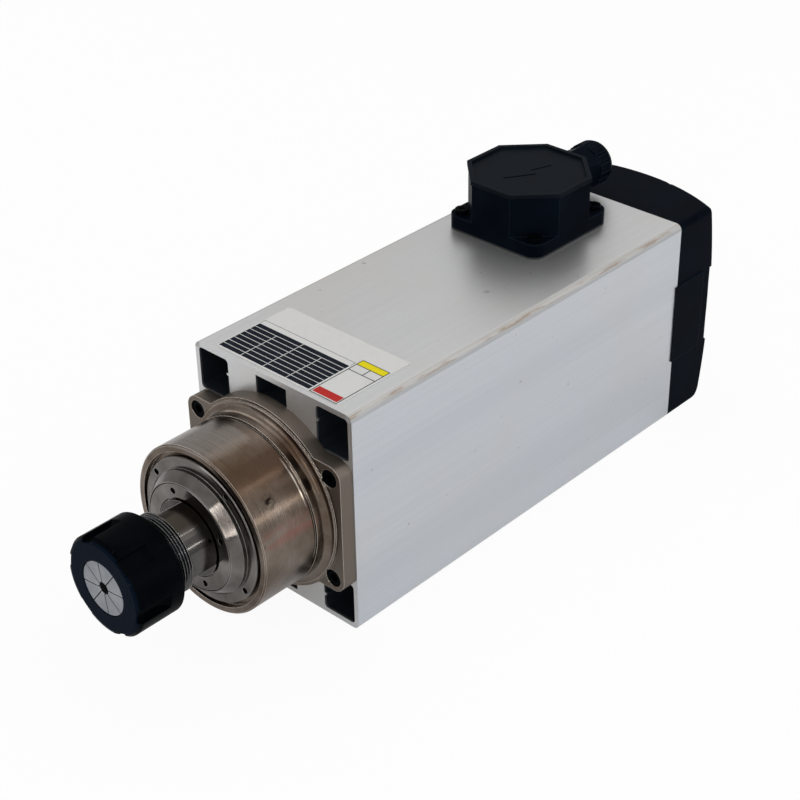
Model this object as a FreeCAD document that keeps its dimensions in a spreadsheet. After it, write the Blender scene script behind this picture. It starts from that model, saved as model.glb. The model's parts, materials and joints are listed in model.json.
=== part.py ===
# Square-bodied, air-cooled motor spindle with a collet nose.
# Millimetres. X to the right seen from the nose, Y to the rear, Z up.
# The origin is the middle of the housing's base face, and the spindle axis runs along Y above it.
import FreeCAD, Part
import os
import re
import Sketcher
from FreeCAD import Placement, Rotation, Vector

sizes = {
    # Fits that several pieces share
    "seat_gap": 0.02,
    "running_gap": 0.3,
    "thread_gap": 0.3,
    "face_gap": 0.02,
    # Housing: an aluminium profile with air channels round a bored middle
    "housing_width": 103,
    "housing_height": 120,
    "housing_length": 249,
    "housing_corner_radius": 3.5,
    "bore_side_wall": 7.5,
    "bore_wall": 3,
    "side_wall": 2.5,
    "top_wall": 2.7,
    "channel_width": 20,
    "channel_floor": 35,
    "channel_corner_radius": 2,
    "middle_channel_width": 20,
    "channel_rib_width": 1.2,
    "channel_rib_height": 1.2,
    "channel_rib_level": 49,
    # Fastener sizes: the shank is drawn at the thread's core
    "m4_core": 1.65,
    "m4_clearance": 2.2,
    "m4_head_radius": 3.5,
    "m4_head_height": 4,
    "m4_socket": 3,
    "m5_core": 2.1,
    "m5_clearance": 2.75,
    "m5_head_radius": 4.25,
    "m5_head_height": 5,
    "m5_socket": 4,
    "m8_core": 3.4,
    "tapped_extra_depth": 3,
    # Front flange and nose
    "flange_thickness": 8,
    "flange_disc_inset": 2.5,
    "ear_inset": 7.5,
    "ear_spacing_z": 56,
    "ear_radius": 7,
    "ear_neck_radius": 2.5,
    "flange_screw_length": 16,
    "counterbore_radius": 4.7,
    "counterbore_depth": 5.6,
    "boss_step": 1.5,
    "boss_height": 1.1,
    "boss_edge": 0.4,
    "nose_radius": 43.05,
    "nose_length": 48.1,
    "nose_edge": 0.6,
    "nose_root_radius": 3.4,
    "nose_groove_place": 16,
    "nose_groove_width": 1.7,
    "nose_groove_depth": 1.2,
    "nose_recess_radius": 39.6,
    "nose_recess_depth": 3,
    "nose_thread_length": 5.1,
    "spigot_length": 10,
    "flange_throat_radius": 31,
    "ear_plate_overlap": 4,
    # Front bearing pair, 35 x 72 x 17 each
    "front_bearing_bore": 17.5,
    "front_bearing_outer": 36,
    "front_bearing_width": 17,
    "front_spacer_width": 3,
    "front_pitch_radius": 26.75,
    "front_ball_radius": 5.4,
    "front_ball_count": 12,
    "outer_ring_land": 30.3,
    "inner_ring_land": 23.2,
    "race_gap": 0.2,
    "ring_edge": 0.6,
    "cage_wall": 3.1,
    "cage_side": 1.4,
    # Lock ring that holds the front bearings, and the labyrinth ring on the shaft
    "lock_ring_thread_radius": 37.3,
    "lock_ring_proud": 0.3,
    "lock_ring_foot": 32.5,
    "lock_ring_edge": 0.5,
    "hub_radius": 31.6,
    "hub_step": 2.1,
    "hub_tip_place": 7.1,
    "hub_tip_width": 0.5,
    "labyrinth_radius": 27.2,
    "labyrinth_gap": 0.3,
    "labyrinth_length": 11.2,
    "labyrinth_edge": 0.3,
    "labyrinth_mouth_radius": 20.2,
    "labyrinth_mouth_depth": 1.6,
    "labyrinth_root_radius": 25.5,
    "labyrinth_root_length": 2.2,
    "spanner_hole_radius": 1.65,
    "spanner_hole_depth": 3,
    "lock_hole_circle": 34.4,
    "lock_hole_angle": 54.5,
    "labyrinth_hole_circle": 23.5,
    "labyrinth_hole_angle": 111,
    # Shaft
    "neck_radius": 19.3,
    "flats_across": 32,
    "flats_angle": 130,
    "flats_length": 14,
    "flats_setback": 0.8,
    "thread_radius": 19.95,
    "thread_pitch": 1.5,
    "thread_depth": 0.9,
    "thread_length": 25.5,
    "thread_edge": 1,
    "taper_mouth_radius": 16.46,
    "taper_angle": 8,
    "taper_depth": 31,
    "relief_radius": 11.6,
    "relief_depth": 9,
    "pocket_radius": 8,
    "pocket_depth": 10,
    "mouth_edge": 0.5,
    "shaft_locknut_radius": 26,
    "shaft_locknut_width": 10,
    "locknut_collar": 2,
    "locknut_notch_width": 5,
    "locknut_notch_depth": 2.5,
    "spacer_step": 1,
    "collar_step": 0.7,
    "mid_shaft_step": 0.5,
    "shoulder_gap": 1,
    "rear_shoulder_place": 6,
    "groove_gap": 0.1,
    "fan_seat_lead": 0.5,
    "shaft_tail": 3,
    "rotor_depth": 11,
    "rear_shoulder_step": 1,
    "fan_seat_radius": 8,
    "fan_seat_length": 28,
    "shaft_end_edge": 1,
    # Collet and nut
    "collet_length": 40,
    "collet_face_radius": 13.4,
    "collet_bore_radius": 3,
    "collet_bore_edge": 0.4,
    "collet_cone_length": 4.8,
    "collet_land_radius": 16.2,
    "collet_land_length": 1.1,
    "collet_groove_radius": 14.8,
    "collet_groove_width": 2.6,
    "collet_taper_radius": 16.5,
    "collet_face_recess": 0.2,
    "collet_lead": 1,
    "collet_slit_width": 0.5,
    "collet_turn": 7,
    "collet_slit_count": 8,
    "collet_bridge": 5,
    "collet_rear_bridge": 8,
    "nut_radius": 25,
    "nut_length": 27.2,
    "nut_front_radius": 22,
    "nut_front_edge": 2.4,
    "nut_lip_length": 0.5,
    "nut_lip_height": 1.6,
    "nut_rear_radius": 23,
    "nut_rear_edge": 2,
    "nut_mouth_radius": 13.75,
    "nut_cone_radius": 17.1,
    "nut_cone_length": 5.7,
    "nut_ring_seat_radius": 18.8,
    "nut_ring_seat_length": 3.6,
    "slot_width": 8,
    "slot_depth": 2.8,
    "slot_length": 11,
    "slot_cutter_radius": 10,
    "slot_angle": 110,
    "slot_count": 6,
    "extraction_ring_width": 3,
    "extraction_lip_width": 2,
    "extraction_lip_gap": 0.3,
    # Rear bearing, 25 x 52 x 15, and its bracket
    "rear_bearing_bore": 12.5,
    "rear_bearing_outer": 26,
    "rear_bearing_width": 15,
    "rear_pitch_radius": 19.25,
    "rear_ball_radius": 3.8,
    "rear_ball_count": 9,
    "rear_outer_land": 21.8,
    "rear_inner_land": 16.7,
    "rear_cage_wall": 1.8,
    "rear_cage_side": 1,
    "bracket_flange": 8,
    "bearing_sink": 1,
    "bracket_rim": 3,
    "bracket_spigot_length": 12,
    "bracket_lip_radius": 21,
    "bracket_lip_width": 2.5,
    "spring_width": 1.5,
    "spring_gap": 0.1,
    "spring_inner_radius": 22.5,
    "spring_clearance": 0.3,
    "bracket_screw_inset": 11.5,
    "bracket_screw_z": 50,
    "bracket_ear_radius": 6,
    "bracket_screw_length": 18,
    "rear_ring_width": 1.2,
    "rear_ring_radius": 15.5,
    # Motor
    "stator_place": -59.5,
    "stator_length": 105,
    "stator_depth": 16.7,
    "air_gap": 0.3,
    "stator_slot_count": 24,
    "stator_slot_width": 4,
    "stator_back": 7,
    "stator_slot_mouth": 2,
    "stator_slot_lip": 1.2,
    "wire_gap": 0.2,
    "crown_length": 24,
    "crown_gap": 4,
    "crown_edge": 3,
    "crown_slope": 4,
    "crown_inset": 0.5,
    "bar_reach": 1,
    "lead_block_place": 3,
    "rotor_ring_gap": 3,
    "rotor_ring_drop": 1,
    "rotor_ring_width": 8,
    "rotor_fin_count": 8,
    "rotor_fin_length": 8,
    "rotor_fin_width": 2.5,
    "rotor_fin_inset": 1,
    # Fan
    "fan_clearance": 3,
    "fan_width": 17,
    "fan_hub_radius": 14,
    "fan_tip_gap": 8,
    "fan_blade_count": 9,
    "fan_blade_thickness": 2.2,
    "fan_plate_width": 2,
    "fan_blade_place": 1,
    "fan_plate_radius": 30,
    "fan_ring_width": 1.2,
    "fan_ring_radius": 11,
    "ring_groove_depth": 0.7,
    # Rear cover
    "cover_depth": 28,
    "cover_crown_x": 12,
    "cover_crown_z": 5,
    "cover_wall": 2.5,
    "cover_corner_radius": 3.5,
    "cover_lower_radius": 9,
    "cover_upper_radius": 2,
    "cover_inner_radius": 1,
    "cover_screw_x": 39,
    "cover_screw_inset": 7.5,
    "cover_boss_radius": 6,
    "cover_screw_seat": 21,
    "cover_screw_length": 30,
    "cover_head_radius": 4.2,
    "grille_first_radius": 12,
    "grille_slot": 3.5,
    "grille_rib": 3.5,
    "grille_rings": 5,
    "grille_spokes": 6,
    "grille_spoke_width": 5,
    "pad_height": 46,
    "pad_proud": 0.8,
    "pad_reach": 1.3,
    "pad_length": 24,
    "notch_depth": 2.4,
    "notch_inset": 2,
    # Terminal box on the top face
    "terminal_x": -10,
    "terminal_y": 72,
    "box_base": 61,
    "box_base_height": 7.2,
    "box_base_radius": 7,
    "gasket_thickness": 1,
    "gasket_opening": 46,
    "gasket_corner_radius": 3,
    "tower_across": 61,
    "tower_wall": 3,
    "tower_height": 28.8,
    "lid_across": 62.4,
    "lid_thickness": 2,
    "lid_recess": 1.2,
    "lid_rim": 2.4,
    "lid_plug": 3,
    "lid_plug_wall": 2,
    "lid_ceiling": 0.8,
    "lid_mark_width": 1.4,
    "lid_mark_depth": 0.5,
    "long_mark_length": 18,
    "long_mark_x": 0.2,
    "long_mark_y": -7.75,
    "long_mark_angle": 58,
    "short_mark_length": 12.3,
    "short_mark_x": 2.2,
    "short_mark_y": 7.3,
    "short_mark_angle": 71,
    "box_screw_spacing": 49,
    "box_screw_head_radius": 3.6,
    "box_screw_head_height": 2.4,
    "box_screw_length": 12,
    "box_screw_slot": 1,
    "box_cross_reach": 2.2,
    "box_cross_depth": 1.2,
    # Cable gland on the rear of the tower
    "gland_height": 17,
    "gland_thread_radius": 8,
    "gland_across": 22,
    "gland_body_length": 16,
    "gland_inner_length": 7.5,
    "gland_bore_radius": 5.5,
    "gland_nut_radius": 12.2,
    "gland_nut_length": 11,
    "gland_nut_round": 3,
    "gland_nut_mouth": 6.2,
    "gland_step": 0.5,
    "gland_rib_count": 16,
    "gland_rib_depth": 0.6,
    "gland_rib_gap": 1.6,
    "gland_edge": 0.6,
    "gland_crown": 1.8,
    "gland_seal_place": 2.2,
    "gland_barrel_inset": 1.5,
    "gland_collar_gap": 0.1,
    "gland_seal_radius": 3.5,
    "gland_seal_length": 9,
    "gland_locknut_radius": 11,
    "gland_locknut_width": 4,
    # Terminals and leads
    "lead_hole_x": -19.5,
    "lead_hole_radius": 6.5,
    "lead_radius": 1.4,
    "lead_spacing": 3.4,
    "lead_count": 3,
    "lead_block_width": 10,
    "lead_block_length": 9,
    "lead_block_height": 7,
    "lead_block_drop": 1,
    "block_length": 34,
    "block_width": 15,
    "block_height": 14,
    "block_foot": 4,
    "block_foot_length": 2.5,
    "block_shift": -1,
    "terminal_screw_radius": 2.2,
    "terminal_screw_height": 1.6,
    "terminal_sink_depth": 3,
    "terminal_line_length": 6,
    "terminal_line_width": 0.8,
    "terminal_line_depth": 0.7,
    "terminal_count": 4,
    "terminal_pitch": 7.5,
    "earth_x": -9.5,
    "earth_y": 14,
    "earth_head_radius": 3.4,
    "earth_head_height": 2.2,
    "earth_line_length": 10,
    "earth_line_width": 1,
    "earth_line_depth": 0.9,
    "earth_length": 6,
    # Label on the top face and the mounting holes in the base
    "label_width": 80,
    "label_length": 48,
    "label_thickness": 0.3,
    "label_corner_radius": 1.5,
    "label_setback": 3,
    "base_hole_x": 40,
    "base_hole_y": 150,
    "base_hole_depth": 12,
}

# Places and lengths that follow from the sizes
places = {
    "axis_height": "housing_height / 2",
    "bore_radius": "housing_width / 2 - bore_side_wall",
    "flange_disc_radius": "housing_width / 2 - flange_disc_inset",
    "ear_spacing_x": "housing_width - 2 * ear_inset",
    "boss_radius": "flange_disc_radius - boss_step",
    "bracket_radius": "bore_radius + bracket_rim",
    "bracket_screw_x": "housing_width - 2 * bracket_screw_inset",
    "stator_inner_radius": "bore_radius - stator_depth",
    "stator_slot_floor": "bore_radius - stator_back",
    "crown_outer_radius": "bore_radius - crown_gap",
    "rotor_seat_radius": "rotor_radius - rotor_depth",
    "mid_shaft_radius": "rotor_seat_radius + mid_shaft_step",
    "rear_shoulder_radius": "rotor_seat_radius - rear_shoulder_step",
    "rotor_ring_inner_radius": "rotor_seat_radius + rotor_ring_gap",
    "rotor_ring_outer_radius": "rotor_radius - rotor_ring_drop",
    "fan_tip_radius": "housing_width / 2 - cover_wall - fan_tip_gap",
    "cover_screw_z": "housing_height - 2 * cover_screw_inset",
    "front_face": "-housing_length / 2",
    "rear_face": "housing_length / 2",
    "channel_outer_x": "housing_width / 2 - side_wall",
    "channel_inner_x": "channel_outer_x - channel_width",
    "channel_top": "housing_height / 2 - top_wall",
    "nose_face": "front_face - nose_length",
    "bearing_stop": "bearing_front + 2 * front_bearing_width + front_spacer_width",
    "bearing_front": "nose_face + nose_recess_depth + nose_thread_length",
    "lock_face": "nose_face - lock_ring_proud",
    "hub_tip": "nose_face - hub_tip_place",
    "flats_front": "hub_tip - flats_setback - flats_length",
    "shaft_front": "flats_front - thread_length",
    "collet_taper_start": "shaft_front - collet_lead",
    "collet_groove_start": "collet_taper_start - collet_groove_width",
    "collet_land_start": "collet_groove_start - collet_land_length",
    "collet_face": "collet_land_start - collet_cone_length",
    "nut_face": "collet_face - collet_face_recess",
    "nut_seat_start": "nut_face + nut_cone_length",
    "nut_seat_end": "nut_seat_start + nut_ring_seat_length",
    "rear_bearing_front": "rear_face + bracket_flange - rear_bearing_width - bearing_sink",
    "rear_bearing_back": "rear_bearing_front + rear_bearing_width",
    "fan_front": "rear_bearing_back + rear_ring_width + fan_clearance",
    "fan_back": "fan_front + fan_width + fan_plate_width",
    "shaft_rear": "fan_back + fan_ring_width + shaft_tail",
    "stator_end": "stator_place + stator_length",
    "rotor_radius": "stator_inner_radius - air_gap",
    "cover_edge": "rear_face + cover_depth",
    "cover_seat": "rear_face + cover_screw_seat",
    "box_floor": "housing_height + gasket_thickness",
    "tower_top": "box_floor + tower_height",
    "gland_face": "terminal_y + tower_across / 2",
    "gland_level": "housing_height + gland_height",
    "gland_nut_start": "gland_face + gland_body_length + gland_step",
}

doc = FreeCAD.newDocument("motor_spindle")
sheet = doc.addObject("Spreadsheet::Sheet", "Sizes")
for row, (alias, value) in enumerate(sizes.items(), 1):
    sheet.set(f"A{row}", alias.replace("_", " "))
    sheet.set(f"B{row}", str(value))
    sheet.setAlias(f"B{row}", alias)
doc.recompute()
nodes = []


def bound(text):
    """Turn plain size and place names into an expression on the sheet."""
    def word(match):
        name = match.group()
        if name in places:
            return "(" + bound(places[name]) + ")"
        return "Sizes." + name if name in sizes else name
    return re.sub(r"[a-z]\w*", word, str(text))


def number(text):
    """The present value of an expression."""
    value = sheet.evalExpression(bound(text))
    return float(getattr(value, "Value", value))


def bind(item, **expressions):
    for name, text in expressions.items():
        item.setExpression(name, bound(text))


def move(item, x=None, y=None, z=None):
    for name, text in (("x", x), ("y", y), ("z", z)):
        if text is not None:
            item.setExpression(f"Placement.Base.{name}", bound(text))


def node(item, label, x=None, y=None, z=None):
    """Name a finished sub-part and give it its place."""
    item.Label = label
    move(item, x, y, z)
    nodes.append(item)
    return item


facing = {
    "+Z": Rotation(),
    "-Z": Rotation(Vector(1, 0, 0), 180),
    "+Y": Rotation(Vector(1, 0, 0), -90),
    "-Y": Rotation(Vector(1, 0, 0), 90),
}


def box(name, x0, x1, y0, y1, z0, z1):
    item = doc.addObject("Part::Box", name)
    bind(item, Length=f"({x1}) - ({x0})", Width=f"({y1}) - ({y0})", Height=f"({z1}) - ({z0})")
    move(item, x0, y0, z0)
    return item


def cylinder(name, radius, length, x=0, y=0, z=0, along="+Y"):
    item = doc.addObject("Part::Cylinder", name)
    item.Placement = Placement(Vector(), facing[along])
    bind(item, Radius=radius, Height=length)
    move(item, x, y, z)
    return item


def prism(name, sides, across, length, x=0, y=0, z=0, along="+Y", turn=0):
    """A regular prism, sized across its flats."""
    item = doc.addObject("Part::Prism", name)
    item.Polygon = sides
    item.Placement = Placement(Vector(), facing[along] * Rotation(Vector(0, 0, 1), turn))
    bind(item, Circumradius=f"({across}) / 2 / cos(180 / {sides})", Height=length)
    move(item, x, y, z)
    return item


def sphere(name, radius, x, y, z):
    item = doc.addObject("Part::Sphere", name)
    bind(item, Radius=radius)
    move(item, x, y, z)
    return item


def torus(name, ring_radius, wire_radius, y):
    item = doc.addObject("Part::Torus", name)
    item.Placement = Placement(Vector(), facing["+Y"])
    bind(item, Radius1=ring_radius, Radius2=wire_radius)
    move(item, 0, y, 0)
    return item


def radial_box(name, inner, outer, y0, y1, width, angle):
    """A box that points outwards from the spindle axis at an angle from +X towards +Z."""
    item = doc.addObject("Part::Box", name)
    item.Placement = Placement(Vector(), Rotation(Vector(0, 1, 0), -number(angle)))
    bind(item, Length=f"({outer}) - ({inner})", Width=f"({y1}) - ({y0})", Height=width)
    move(item, f"({inner}) * cos({angle}) + ({width}) / 2 * sin({angle})", y0,
         f"({inner}) * sin({angle}) - ({width}) / 2 * cos({angle})")
    return item


def tangent_cylinder(name, radius, distance, y, width, angle):
    """A cylinder across the spindle axis, its middle at a distance outwards at an angle."""
    item = doc.addObject("Part::Cylinder", name)
    item.Placement = Placement(Vector(), Rotation(Vector(0, 1, 0), -number(angle)))
    bind(item, Radius=radius, Height=width)
    move(item, f"({distance}) * cos({angle}) + ({width}) / 2 * sin({angle})", y,
         f"({distance}) * sin({angle}) - ({width}) / 2 * cos({angle})")
    return item


def radial_cylinder(name, radius, inner, outer, y, angle):
    """A cylinder that points outwards from the spindle axis at an angle from +X towards +Z."""
    item = doc.addObject("Part::Cylinder", name)
    turn = Rotation(Vector(0, 1, 0), -number(angle))
    item.Placement = Placement(Vector(), turn * Rotation(Vector(0, 1, 0), 90))
    bind(item, Radius=radius, Height=f"({outer}) - ({inner})")
    move(item, f"({inner}) * cos({angle})", y, f"({inner}) * sin({angle})")
    return item


def fuse(name, parts):
    item = doc.addObject("Part::MultiFuse", name)
    item.Shapes = parts
    return item


def group(name, parts):
    item = doc.addObject("Part::Compound", name)
    item.Links = parts
    return item


def cut(name, base, parts):
    item = doc.addObject("Part::Cut", name)
    item.Base = base
    item.Tool = parts[0] if len(parts) == 1 else fuse(name + "_tools", parts)
    return item


def common(name, parts):
    item = doc.addObject("Part::MultiCommon", name)
    item.Shapes = parts
    return item


def turned(name, profile):
    """A body turned about the Y axis from (position along Y, radius) corners."""
    body = doc.addObject("PartDesign::Body", name)
    sketch = body.newObject("Sketcher::SketchObject", name + "_profile")
    plane = [item for item in body.Origin.OriginFeatures if item.Role == "YZ_Plane"][0]
    sketch.AttachmentSupport = (plane, [""])
    sketch.MapMode = "FlatFace"
    corners = [Vector(number(along), number(radius), 0) for along, radius in profile]
    count = len(corners)
    sketch.addGeometry([Part.LineSegment(corners[i], corners[(i + 1) % count]) for i in range(count)])
    sketch.addConstraint([Sketcher.Constraint("Coincident", i, 2, (i + 1) % count, 1)
                          for i in range(count)])
    for i, (along, radius) in enumerate(profile):
        first = sketch.addConstraint(Sketcher.Constraint("DistanceX", -1, 1, i, 1, corners[i].x))
        second = sketch.addConstraint(Sketcher.Constraint("DistanceY", -1, 1, i, 1, corners[i].y))
        sketch.setExpression(f"Constraints[{first}]", bound(along))
        sketch.setExpression(f"Constraints[{second}]", bound(radius))
    turn = body.newObject("PartDesign::Revolution", name + "_turn")
    turn.Profile = sketch
    turn.ReferenceAxis = (sketch, ["H_Axis"])
    turn.Angle = 360
    return body


def rounded(name, base, radius, wanted):
    """Round the edges of a solid that the test picks out by their middle point and direction."""
    doc.recompute()
    item = doc.addObject("Part::Fillet", name)
    item.Base = base
    picked = []
    for i, edge in enumerate(base.Shape.Edges, 1):
        middle = edge.CenterOfMass
        run = edge.Vertexes[-1].Point - edge.Vertexes[0].Point
        if wanted(middle, run):
            picked.append((i, number(radius), number(radius)))
    item.Edges = picked
    return item


def along_y(middle, run):
    return abs(run.y) > 0.1 and abs(run.x) + abs(run.z) < 0.001


def along_z(middle, run):
    return abs(run.z) > 0.1 and abs(run.x) + abs(run.y) < 0.001


def screws(name, spots, along, seat, shank_radius, length, head_radius, head_height, socket):
    """A group of socket head screws. Each spot is the middle of the seat under its head."""
    parts = []
    back = {"+Y": "-Y", "-Y": "+Y", "-Z": "+Z"}[along]
    sign = {"+Y": -1, "-Y": 1, "-Z": 1}[along]
    for i, (x, y, z) in enumerate(spots):
        shank = cylinder(f"{name}_shank_{i}", shank_radius, length, x, y, z, along)
        head = cylinder(f"{name}_head_{i}", head_radius, head_height, x, y, z, back)
        rise = f"{sign} * ({head_height}) / 2"
        deep = (x, f"({y}) + {rise}", z) if seat == "y" else (x, y, f"({z}) + {rise}")
        key = prism(f"{name}_key_{i}", 6, socket, head_height, *deep, back)
        parts.append(cut(f"{name}_{i}", fuse(f"{name}_blank_{i}", [shank, head]), [key]))
    return group(name, parts)


def corners(dx, dz):
    """The four corners of a rectangle that is centred on the spindle axis, as x and z."""
    return [(f"{sx} * ({dx}) / 2", f"{sz} * ({dz}) / 2") for sx in (-1, 1) for sz in (-1, 1)]


def housing():
    half_x = "housing_width / 2"
    half_z = "housing_height / 2"
    blank = rounded("housing_blank",
                    box("housing_block", f"-{half_x}", half_x, "front_face", "rear_face",
                        f"-{half_z}", half_z),
                    "housing_corner_radius", along_y)
    wall = cylinder("bore_wall_round", "bore_radius + bore_wall", "housing_length", y="front_face")
    channels = []
    for sx in (-1, 1):
        for sz in (-1, 1):
            name = f"channel_{len(channels)}"
            x0, x1 = ("channel_inner_x", "channel_outer_x")[::sx]
            z0, z1 = ("channel_floor", "channel_top")[::sz]
            block = box(name + "_block", f"{sx} * {x0}", f"{sx} * {x1}", "front_face", "rear_face",
                        f"{sz} * {z0}", f"{sz} * {z1}")
            rib = (f"{sx} * channel_inner_x", f"{sx} * (channel_inner_x + channel_rib_height)")[::sx]
            level = (f"{sz} * channel_rib_level",
                     f"{sz} * (channel_rib_level + channel_rib_width)")[::sz]
            ridge = box(name + "_ridge", *rib, "front_face", "rear_face", *level)
            soft = rounded(name + "_soft", block, "channel_corner_radius", along_y)
            channels.append(cut(name, soft, [wall, ridge]))
    for sz in (-1, 1):
        z0, z1 = ("bore_radius", "channel_top")[::sz]
        block = box(f"middle_channel_{sz}_block", "-middle_channel_width / 2", "middle_channel_width / 2",
                    "front_face", "rear_face", f"{sz} * {z0}", f"{sz} * {z1}")
        channels.append(cut(f"middle_channel_{sz}", block, [wall]))
    holes = [cylinder("housing_bore", "bore_radius", "housing_length", y="front_face")]
    for i, (x, z) in enumerate(corners("ear_spacing_x", "ear_spacing_z")):
        holes.append(cylinder(f"flange_tap_{i}", "m5_core",
                              "flange_screw_length - flange_thickness + counterbore_depth"
                              " + tapped_extra_depth",
                              x, "front_face", z))
    for i, (x, z) in enumerate(corners("bracket_screw_x", "bracket_screw_z")):
        holes.append(cylinder(f"bracket_tap_{i}", "m5_core",
                              "bracket_screw_length - bracket_flange + tapped_extra_depth",
                              x, "rear_face", z, "-Y"))
    for i, (x, z) in enumerate(corners("cover_screw_x", "cover_screw_z")):
        holes.append(cylinder(f"cover_tap_{i}", "m4_core",
                              "cover_screw_length - cover_screw_seat + tapped_extra_depth",
                              x, "rear_face", z, "-Y"))
    for i, (x, y) in enumerate(corners("base_hole_x", "base_hole_y")):
        holes.append(cylinder(f"base_tap_{i}", "m8_core", "base_hole_depth", x, y, f"-{half_z}", "+Z"))
    for i, (x, y) in enumerate(corners("box_screw_spacing", "box_screw_spacing")):
        holes.append(cylinder(f"box_tap_{i}", "m4_core", "box_screw_length - box_base_height",
                              f"terminal_x + {x}", f"terminal_y + {y}", half_z, "-Z"))
    holes.append(cylinder("earth_tap", "m4_core", "earth_length + 1", "terminal_x + earth_x",
                          "terminal_y + earth_y", half_z, "-Z"))
    holes.append(cylinder("lead_hole", "lead_hole_radius", half_z, "lead_hole_x", "terminal_y",
                          half_z, "-Z"))
    node(cut("housing", blank, channels + holes), "housing_extrusion", z="axis_height")


def front_flange():
    body = turned("flange_turning", [
        ("front_face + spigot_length", "flange_throat_radius"),
        ("front_face + spigot_length", "bore_radius - seat_gap"),
        ("front_face", "bore_radius - seat_gap"),
        ("front_face", "flange_disc_radius"),
        ("front_face - flange_thickness", "flange_disc_radius"),
        ("front_face - flange_thickness", "boss_radius"),
        ("front_face - flange_thickness - boss_height + boss_edge", "boss_radius"),
        ("front_face - flange_thickness - boss_height", "boss_radius - boss_edge"),
        ("front_face - flange_thickness - boss_height", "nose_radius"),
        ("front_face - nose_groove_place", "nose_radius"),
        ("front_face - nose_groove_place", "nose_radius - nose_groove_depth"),
        ("front_face - nose_groove_place - nose_groove_width", "nose_radius - nose_groove_depth"),
        ("front_face - nose_groove_place - nose_groove_width", "nose_radius"),
        ("nose_face + nose_edge", "nose_radius"),
        ("nose_face", "nose_radius - nose_edge"),
        ("nose_face", "nose_recess_radius"),
        ("nose_face + nose_recess_depth", "nose_recess_radius"),
        ("nose_face + nose_recess_depth", "lock_ring_thread_radius + seat_gap"),
        ("bearing_front", "lock_ring_thread_radius + seat_gap"),
        ("bearing_front", "front_bearing_outer + seat_gap"),
        ("bearing_stop", "front_bearing_outer + seat_gap"),
        ("bearing_stop", "flange_throat_radius")])
    root_y = number("front_face - flange_thickness - boss_height")
    root_radius = number("nose_radius")

    def nose_root(middle, run):
        return abs(middle.y - root_y) < 0.01 and run.Length < 0.01

    doc.recompute()
    swept = doc.addObject("Part::Fillet", "flange_root")
    swept.Base = body
    swept.Edges = [(i, number("nose_root_radius"), number("nose_root_radius"))
                   for i, edge in enumerate(body.Shape.Edges, 1)
                   if nose_root(edge.CenterOfMass, edge.Vertexes[-1].Point - edge.Vertexes[0].Point)
                   and abs(edge.Curve.Radius - root_radius) < 0.01]
    y0, y1 = "front_face - flange_thickness", "front_face"
    wide = box("ear_plate_wide", "-ear_spacing_x / 2 - ear_radius", "ear_spacing_x / 2 + ear_radius",
               y0, y1, "-ear_spacing_z / 2", "ear_spacing_z / 2")
    tall = box("ear_plate_tall", "-ear_spacing_x / 2", "ear_spacing_x / 2",
               y0, y1, "-ear_spacing_z / 2 - ear_radius", "ear_spacing_z / 2 + ear_radius")
    ears = [cylinder(f"ear_{i}", "ear_radius", "flange_thickness", x, y0, z)
            for i, (x, z) in enumerate(corners("ear_spacing_x", "ear_spacing_z"))]
    throat = cylinder("ear_plate_throat", "front_bearing_outer + ear_plate_overlap", "flange_thickness", y=y0)
    plate = cut("ear_plate", fuse("ear_plate_blank", [wide, tall] + ears), [throat])
    joined = fuse("flange_joined", [swept, plate])
    level = number("ear_spacing_z / 2 + ear_radius")

    def ear_neck(middle, run):
        inside = abs(middle.x) < number("ear_spacing_x / 2 - 1")
        return along_y(middle, run) and inside and abs(abs(middle.z) - level) < 0.01

    necked = rounded("flange_necked", joined, "ear_neck_radius", ear_neck)
    holes = []
    for i, (x, z) in enumerate(corners("ear_spacing_x", "ear_spacing_z")):
        holes.append(cylinder(f"flange_hole_{i}", "m5_clearance", "flange_thickness", x, y0, z))
        holes.append(cylinder(f"flange_counterbore_{i}", "counterbore_radius",
                              "counterbore_depth + boss_height", x, f"{y0} - boss_height", z))
    node(cut("flange", necked, holes), "front_flange", z="axis_height")
    seat = f"{y0} + counterbore_depth"
    spots = [(x, seat, f"axis_height + {z}") for x, z in corners("ear_spacing_x", "ear_spacing_z")]
    node(screws("flange_screw", spots, "+Y", "y", "m5_core - seat_gap", "flange_screw_length",
                "m5_head_radius", "m5_head_height", "m5_socket"), "flange_screws")


def spanner_holes(name, count, circle, angle, face):
    """Blind holes for a pin spanner, evenly spaced on a circle."""
    return [cylinder(f"{name}_{i}", "spanner_hole_radius", "spanner_hole_depth",
                     f"{circle} * cos({angle} + {i * 360 / count})", face,
                     f"{circle} * sin({angle} + {i * 360 / count})") for i in range(count)]


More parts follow.
